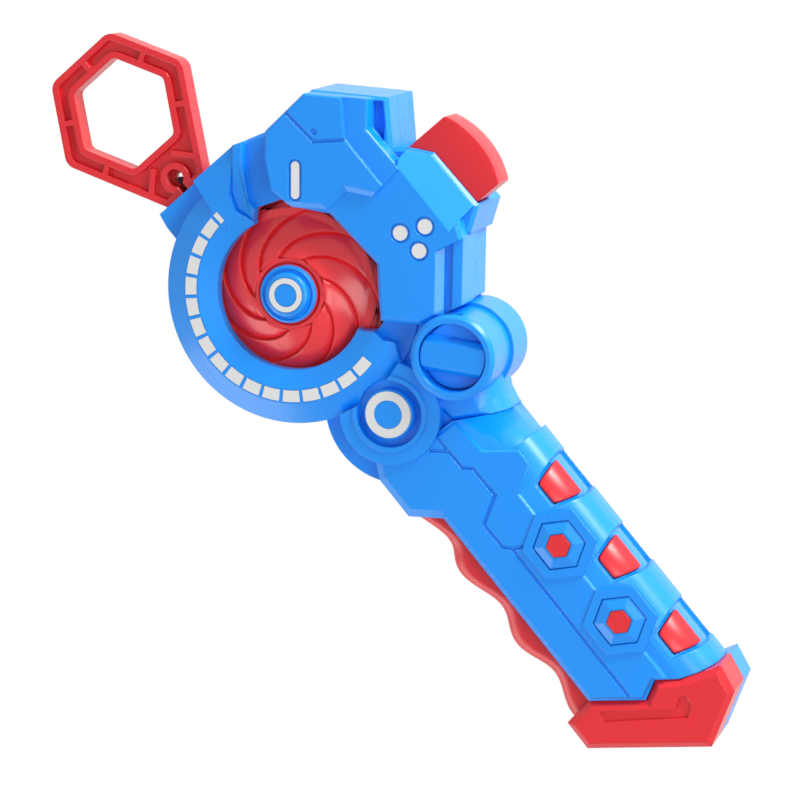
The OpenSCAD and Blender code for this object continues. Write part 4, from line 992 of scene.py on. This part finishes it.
@dataclass
class Button:
    """The release button, with its slider and spring. Sizes are in mm.

    Args:
        corner_r: Radius of its upright corners.
        corner_steps: Steps of that round.
        corner_in: Upright edges further than this from its inner face are rounded.
        corner_turn: They turn further than this, in radians.
        edge_r: Radius of its upper and lower edges.
        edge_steps: Steps of that round.
        edge_in: Level edges that reach further than this from its inner face are rounded.
        edge_turn: They turn further than this, in radians.
        level: Edges that rise less than this are level.
        upright: Edges that rise more than this are upright.
        arc_r: Radius of the face that the finger presses.
        arc_steps: Steps of that face's full circle.
        stroke: Way that the button goes inwards; not used.
    """

    corner_r: float = 1.7
    corner_steps: int = 6
    corner_in: float = 3.0
    corner_turn: float = 0.5
    edge_r: float = 1.3
    edge_steps: int = 5
    edge_in: float = 1.0
    edge_turn: float = 1.0
    level: float = 0.1
    upright: float = 1.0
    arc_r: float = 20.5
    arc_steps: int = 192
    stroke: float = 3.0

    @staticmethod
    def rise(edge: bmesh.types.BMEdge) -> float:
        """How far an edge rises, in mm."""
        return abs(edge.verts[0].co.z - edge.verts[1].co.z) / MM

    def cap(self) -> bmesh.types.BMesh:
        """Makes the cap: a disc cut down to the button's plan, raised and rounded.

        Returns:
            Its mesh.
        """
        low, high = (Vector(corner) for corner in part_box("release_button"))
        work = bmesh.new()
        middle = Vector((high.x - self.arc_r * MM, (low.y + high.y) / 2, low.z))
        bmesh.ops.create_circle(work, cap_ends=True, segments=self.arc_steps, radius=self.arc_r * MM,
                                matrix=Matrix.Translation(middle))
        for point, normal in ((low, (-1, 0, 0)), (low, (0, -1, 0)), (high, (0, 1, 0))):
            bmesh.ops.bisect_plane(work, geom=work.verts[:] + work.edges[:] + work.faces[:], dist=WELD,
                                   plane_co=point, plane_no=normal, clear_outer=True)
        made = bmesh.ops.extrude_face_region(work, geom=work.faces[:])["geom"]
        bmesh.ops.translate(work, verts=[part for part in made if isinstance(part, bmesh.types.BMVert)],
                            vec=(0, 0, high.z - low.z))
        bmesh.ops.recalc_face_normals(work, faces=work.faces)
        corners = [edge for edge in work.edges if self.rise(edge) > self.upright
                   and edge.verts[0].co.x > low.x + self.corner_in * MM
                   and edge.calc_face_angle(0.0) > self.corner_turn]
        Workshop.soften(work, corners, self.corner_r, self.corner_steps)
        brims = [edge for edge in work.edges if self.rise(edge) < self.level
                 and max(vert.co.x for vert in edge.verts) > low.x + self.edge_in * MM
                 and edge.calc_face_angle(0.0) > self.edge_turn]
        Workshop.soften(work, brims, self.edge_r, self.edge_steps)
        bmesh.ops.recalc_face_normals(work, faces=work.faces)
        return work

    def build(self, shop: Workshop) -> None:
        """Builds and dresses the button, and gives its spring a mesh of its own.

        Args:
            shop: The workshop.
        """
        shop.piece("button_cap", self.cap(), Body.RELEASE, Slot.RED, ["release_button"], sharp_deg=30.0)
        shop.palette.cad(Slot.GREY, "release_slider")
        coil = shop.piece("button_coil", shop.copy("button_spring"), Body.HOUSING, Slot.STEEL,
                          ["button_spring"], sharp_deg=40.0)
        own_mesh(coil)


@dataclass
class CordDrive:
    """The pull ring, the cord with its knot and winding, the reel and the one-way drive. Sizes are in mm.

    Args:
        cord_r: Radius of the taut cord.
        cord_sides: Sides of its section.
        cord_steps: Lengths that it is made of.
        wound_r: Radius of the cord where it is wound tight.
        wound_sides: Sides of its section there and in the knot.
        core_r: Radius that the winding starts from.
        turn_steps: Steps of one turn.
        knot_share: Radius of the cord in the knot, as a share of the knot's.
        knot_r: Mean radius of the knot's loop, as a share of the knot's.
        knot_swing: How far the loop swings out and in.
        knot_lift: How far it rises and falls.
        knot_steps: Steps of the loop.
        sharp_deg: Edges that turn further than this stay sharp.
    """

    cord_r: float = 0.48
    cord_sides: int = 10
    cord_steps: int = 40
    wound_r: float = 0.45
    wound_sides: int = 8
    core_r: float = 3.65
    turn_steps: int = 24
    knot_share: float = 0.3
    knot_r: float = 0.46
    knot_swing: float = 0.22
    knot_lift: float = 0.38
    knot_steps: int = 60
    sharp_deg: float = 80.0

    def cord(self, shop: Workshop) -> None:
        """Makes the taut cord from the reel to the ring.

        Args:
            shop: The workshop.
        """
        low, high = (Vector(corner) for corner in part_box("pull_cord"))
        middle, reach = (low + high) / 2, high.y - low.y
        route = [Vector((middle.x, low.y + reach * i / self.cord_steps, middle.z))
                 for i in range(self.cord_steps + 1)]
        work = bmesh.new()
        Workshop.sweep(work, route, self.cord_r * MM, self.cord_sides)
        item = shop.piece("cord_run", work, None, Slot.CORD, ["pull_cord"], self.sharp_deg)
        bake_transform(item)

    def winding(self, shop: Workshop) -> None:
        """Makes the turns on the reel: a flat coil in two levels, wound tight from the core out.

        Args:
            shop: The workshop.
        """
        low, high = (Vector(corner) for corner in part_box("cord_winding"))
        r = self.wound_r * MM
        core, rim = self.core_r * MM + r, high.x - r
        points = int((rim - core) / (2 * r) * self.turn_steps)
        work = bmesh.new()
        for z in (low.z + r, high.z - r):
            route, length = [], 0.0
            for i in range(points + 1):
                angle = math.pi - 2 * math.pi * (points - i) / self.turn_steps
                out = core + (rim - core) * i / points
                route.append(Vector((out * math.cos(angle), out * math.sin(angle), z)))
                length += (route[-1] - route[-2]).length if i else 0.0
            LOG.info("one level of the cord's turns is %.3f m long", length)
            Workshop.sweep(work, route, r, self.wound_sides)
        shop.piece("cord_turns", work, Body.REEL, Slot.CORD, ["cord_winding"], self.sharp_deg)

    def knot(self, shop: Workshop) -> None:
        """Makes the overhand knot that holds the ring on the cord.

        Args:
            shop: The workshop.
        """
        low, high = (Vector(corner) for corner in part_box("cord_knot"))
        middle, size = (low + high) / 2, (high.x - low.x) / 2
        route = []
        for i in range(self.knot_steps + 1):
            t = 2 * math.pi * i / self.knot_steps
            out = self.knot_r + self.knot_swing * math.cos(3 * t)
            loop = Vector((out * math.cos(2 * t), out * math.sin(2 * t), self.knot_lift * math.sin(3 * t)))
            route.append(middle + loop * size)
        work = bmesh.new()
        Workshop.sweep(work, route, self.knot_share * size, self.wound_sides)
        shop.piece("cord_stopper", work, Body.PULL, Slot.CORD, ["cord_knot"], self.sharp_deg)

    def build(self, shop: Workshop) -> None:
        """Builds and dresses the cord and its drive.

        Args:
            shop: The workshop.
        """
        self.cord(shop)
        self.winding(shop)
        self.knot(shop)
        shop.palette.cad(Slot.RED, "pull_ring")
        shop.palette.cad(Slot.GREY, "bearing_plate", "spring_cup")
        shop.palette.cad(Slot.IVORY, "cord_reel", "drive_socket")
        shop.palette.cad(Slot.STEEL, "spindle", "ratchet_wheel", "ratchet_pawls", "return_spring")
        shop.palette.cad(Slot.BRASS, "front_bush", "rear_bush")


@dataclass
class Selector:
    """The selector knob and its cam."""

    def build(self, shop: Workshop) -> None:
        """Dresses the selector."""
        shop.palette.cad(Slot.BLUE, "selector_knob")
        shop.palette.cad(Slot.IVORY, "selector_cam")


# Studio


@dataclass(frozen=True)
class Lamp:
    """A square area lamp that faces the launcher.

    Args:
        name: The lamp's name.
        place: Where it stands, in metres.
        size: Length of its side in metres.
        watts: Its power.
        aim: The point that it faces.
    """

    name: str
    place: Point
    size: float
    watts: float
    aim: Point = (0.0, -0.02, 0.0)

    def build(self) -> None:
        """Adds the lamp."""
        data = bpy.data.lights.new(self.name, "AREA")
        data.size, data.energy = self.size, self.watts
        item = bpy.data.objects.new(self.name, data)
        item.location = self.place
        item.rotation_euler = (Vector(self.aim) - Vector(self.place)).to_track_quat("-Z", "Y").to_euler()
        bpy.context.scene.collection.objects.link(item)


@dataclass(frozen=True)
class Studio:
    """Camera, floor and lights.

    Args:
        place: Where the camera stands, in metres.
        turn_deg: How it is turned about X, Y and Z, from looking straight down.
        focal_px: Its focal length in pixels.
        picture_px: Width of the picture in pixels.
        sensor_mm: Width of the camera's sensor.
        near: Distance where its view starts, in metres.
        far: Distance where its view ends, in metres.
        floor_half: Half the side of the floor, in metres.
        floor_gap: Gap between the launcher and the floor, in metres.
        floor_colour: Colour of the floor under the lamps, linear.
        sky: Strength of the even light from all round.
        lamps: The lamps.
    """

    place: Point = (0.229157, -0.066614, 0.652950)
    turn_deg: Point = (-10.40515, 16.91262, -40.6)
    focal_px: float = 3050.0
    picture_px: float = 800.0
    sensor_mm: float = 36.0
    near: float = 0.01
    far: float = 20.0
    floor_half: float = 8.0
    floor_gap: float = 0.0002
    floor_colour: Colour = (0.9, 0.9, 0.9)
    sky: float = 0.43
    lamps: tuple[Lamp, ...] = (
        Lamp("key", place=(0.78, 0.12, 0.10), size=0.36, watts=10.0),
        Lamp("top", place=(0.30, -0.30, 0.46), size=0.3, watts=1.3),
        Lamp("fill", place=(-0.60, -0.10, 0.22), size=0.5, watts=2.0),
    )

    def camera(self) -> None:
        """Sets the camera that matches the photograph's view."""
        data = bpy.data.cameras.new("camera")
        data.sensor_width = self.sensor_mm
        data.lens = self.sensor_mm * self.focal_px / self.picture_px
        data.clip_start, data.clip_end = self.near, self.far
        item = bpy.data.objects.new("camera", data)
        bpy.context.scene.collection.objects.link(item)
        turn = Euler([math.radians(angle) for angle in self.turn_deg], "XYZ")
        item.matrix_world = Matrix.Translation(self.place) @ turn.to_matrix().to_4x4()
        bpy.context.scene.camera = item

    def floor(self) -> None:
        """Adds the pale floor that the launcher lies on, white where it is seen."""
        mesh = bpy.data.meshes.new("floor")
        work = bmesh.new()
        bmesh.ops.create_grid(work, x_segments=1, y_segments=1, size=self.floor_half)
        bmesh.ops.translate(work, verts=work.verts, vec=(0, 0, -self.floor_gap))
        work.to_mesh(mesh)
        work.free()
        item = bpy.data.objects.new("floor", mesh)
        bpy.context.scene.collection.objects.link(item)
        material = bpy.data.materials.new("floor")
        shader = Shader(material)
        matt = shader.add("BsdfDiffuse", {"Color": (*self.floor_colour, 1.0)}).outputs[0]
        white = shader.add("Emission", {"Color": PURE_WHITE, "Strength": 1.0}).outputs[0]
        shader.close(shader.add("MixShader", {0: shader.seen(), 1: matt, 2: white}).outputs[0])
        mesh.materials.append(material)

    def world(self) -> None:
        """Lights the scene evenly from all round, white where it is seen."""
        world = bpy.data.worlds.new("sky")
        shader = Shader(world)
        strength = shader.seen() * (1.0 - self.sky) + self.sky
        light = shader.add("Background", {"Color": PURE_WHITE, "Strength": strength}).outputs[0]
        shader.close(light, "OutputWorld")
        bpy.context.scene.world = world

    def build(self) -> None:
        """Sets up the whole studio."""
        self.camera()
        self.floor()
        self.world()
        for lamp in self.lamps:
            lamp.build()
        bpy.context.scene.view_settings.view_transform = "Standard"


def main() -> None:
    """Builds the scene."""
    Studio().build()
    shop = Workshop(Palette())
    for part in (Head(), Turbine(), Handle(), Button(), CordDrive(), Selector()):
        part.build(shop)
        LOG.info("%s is done", type(part).__name__)


if __name__ == "__main__":
    main()
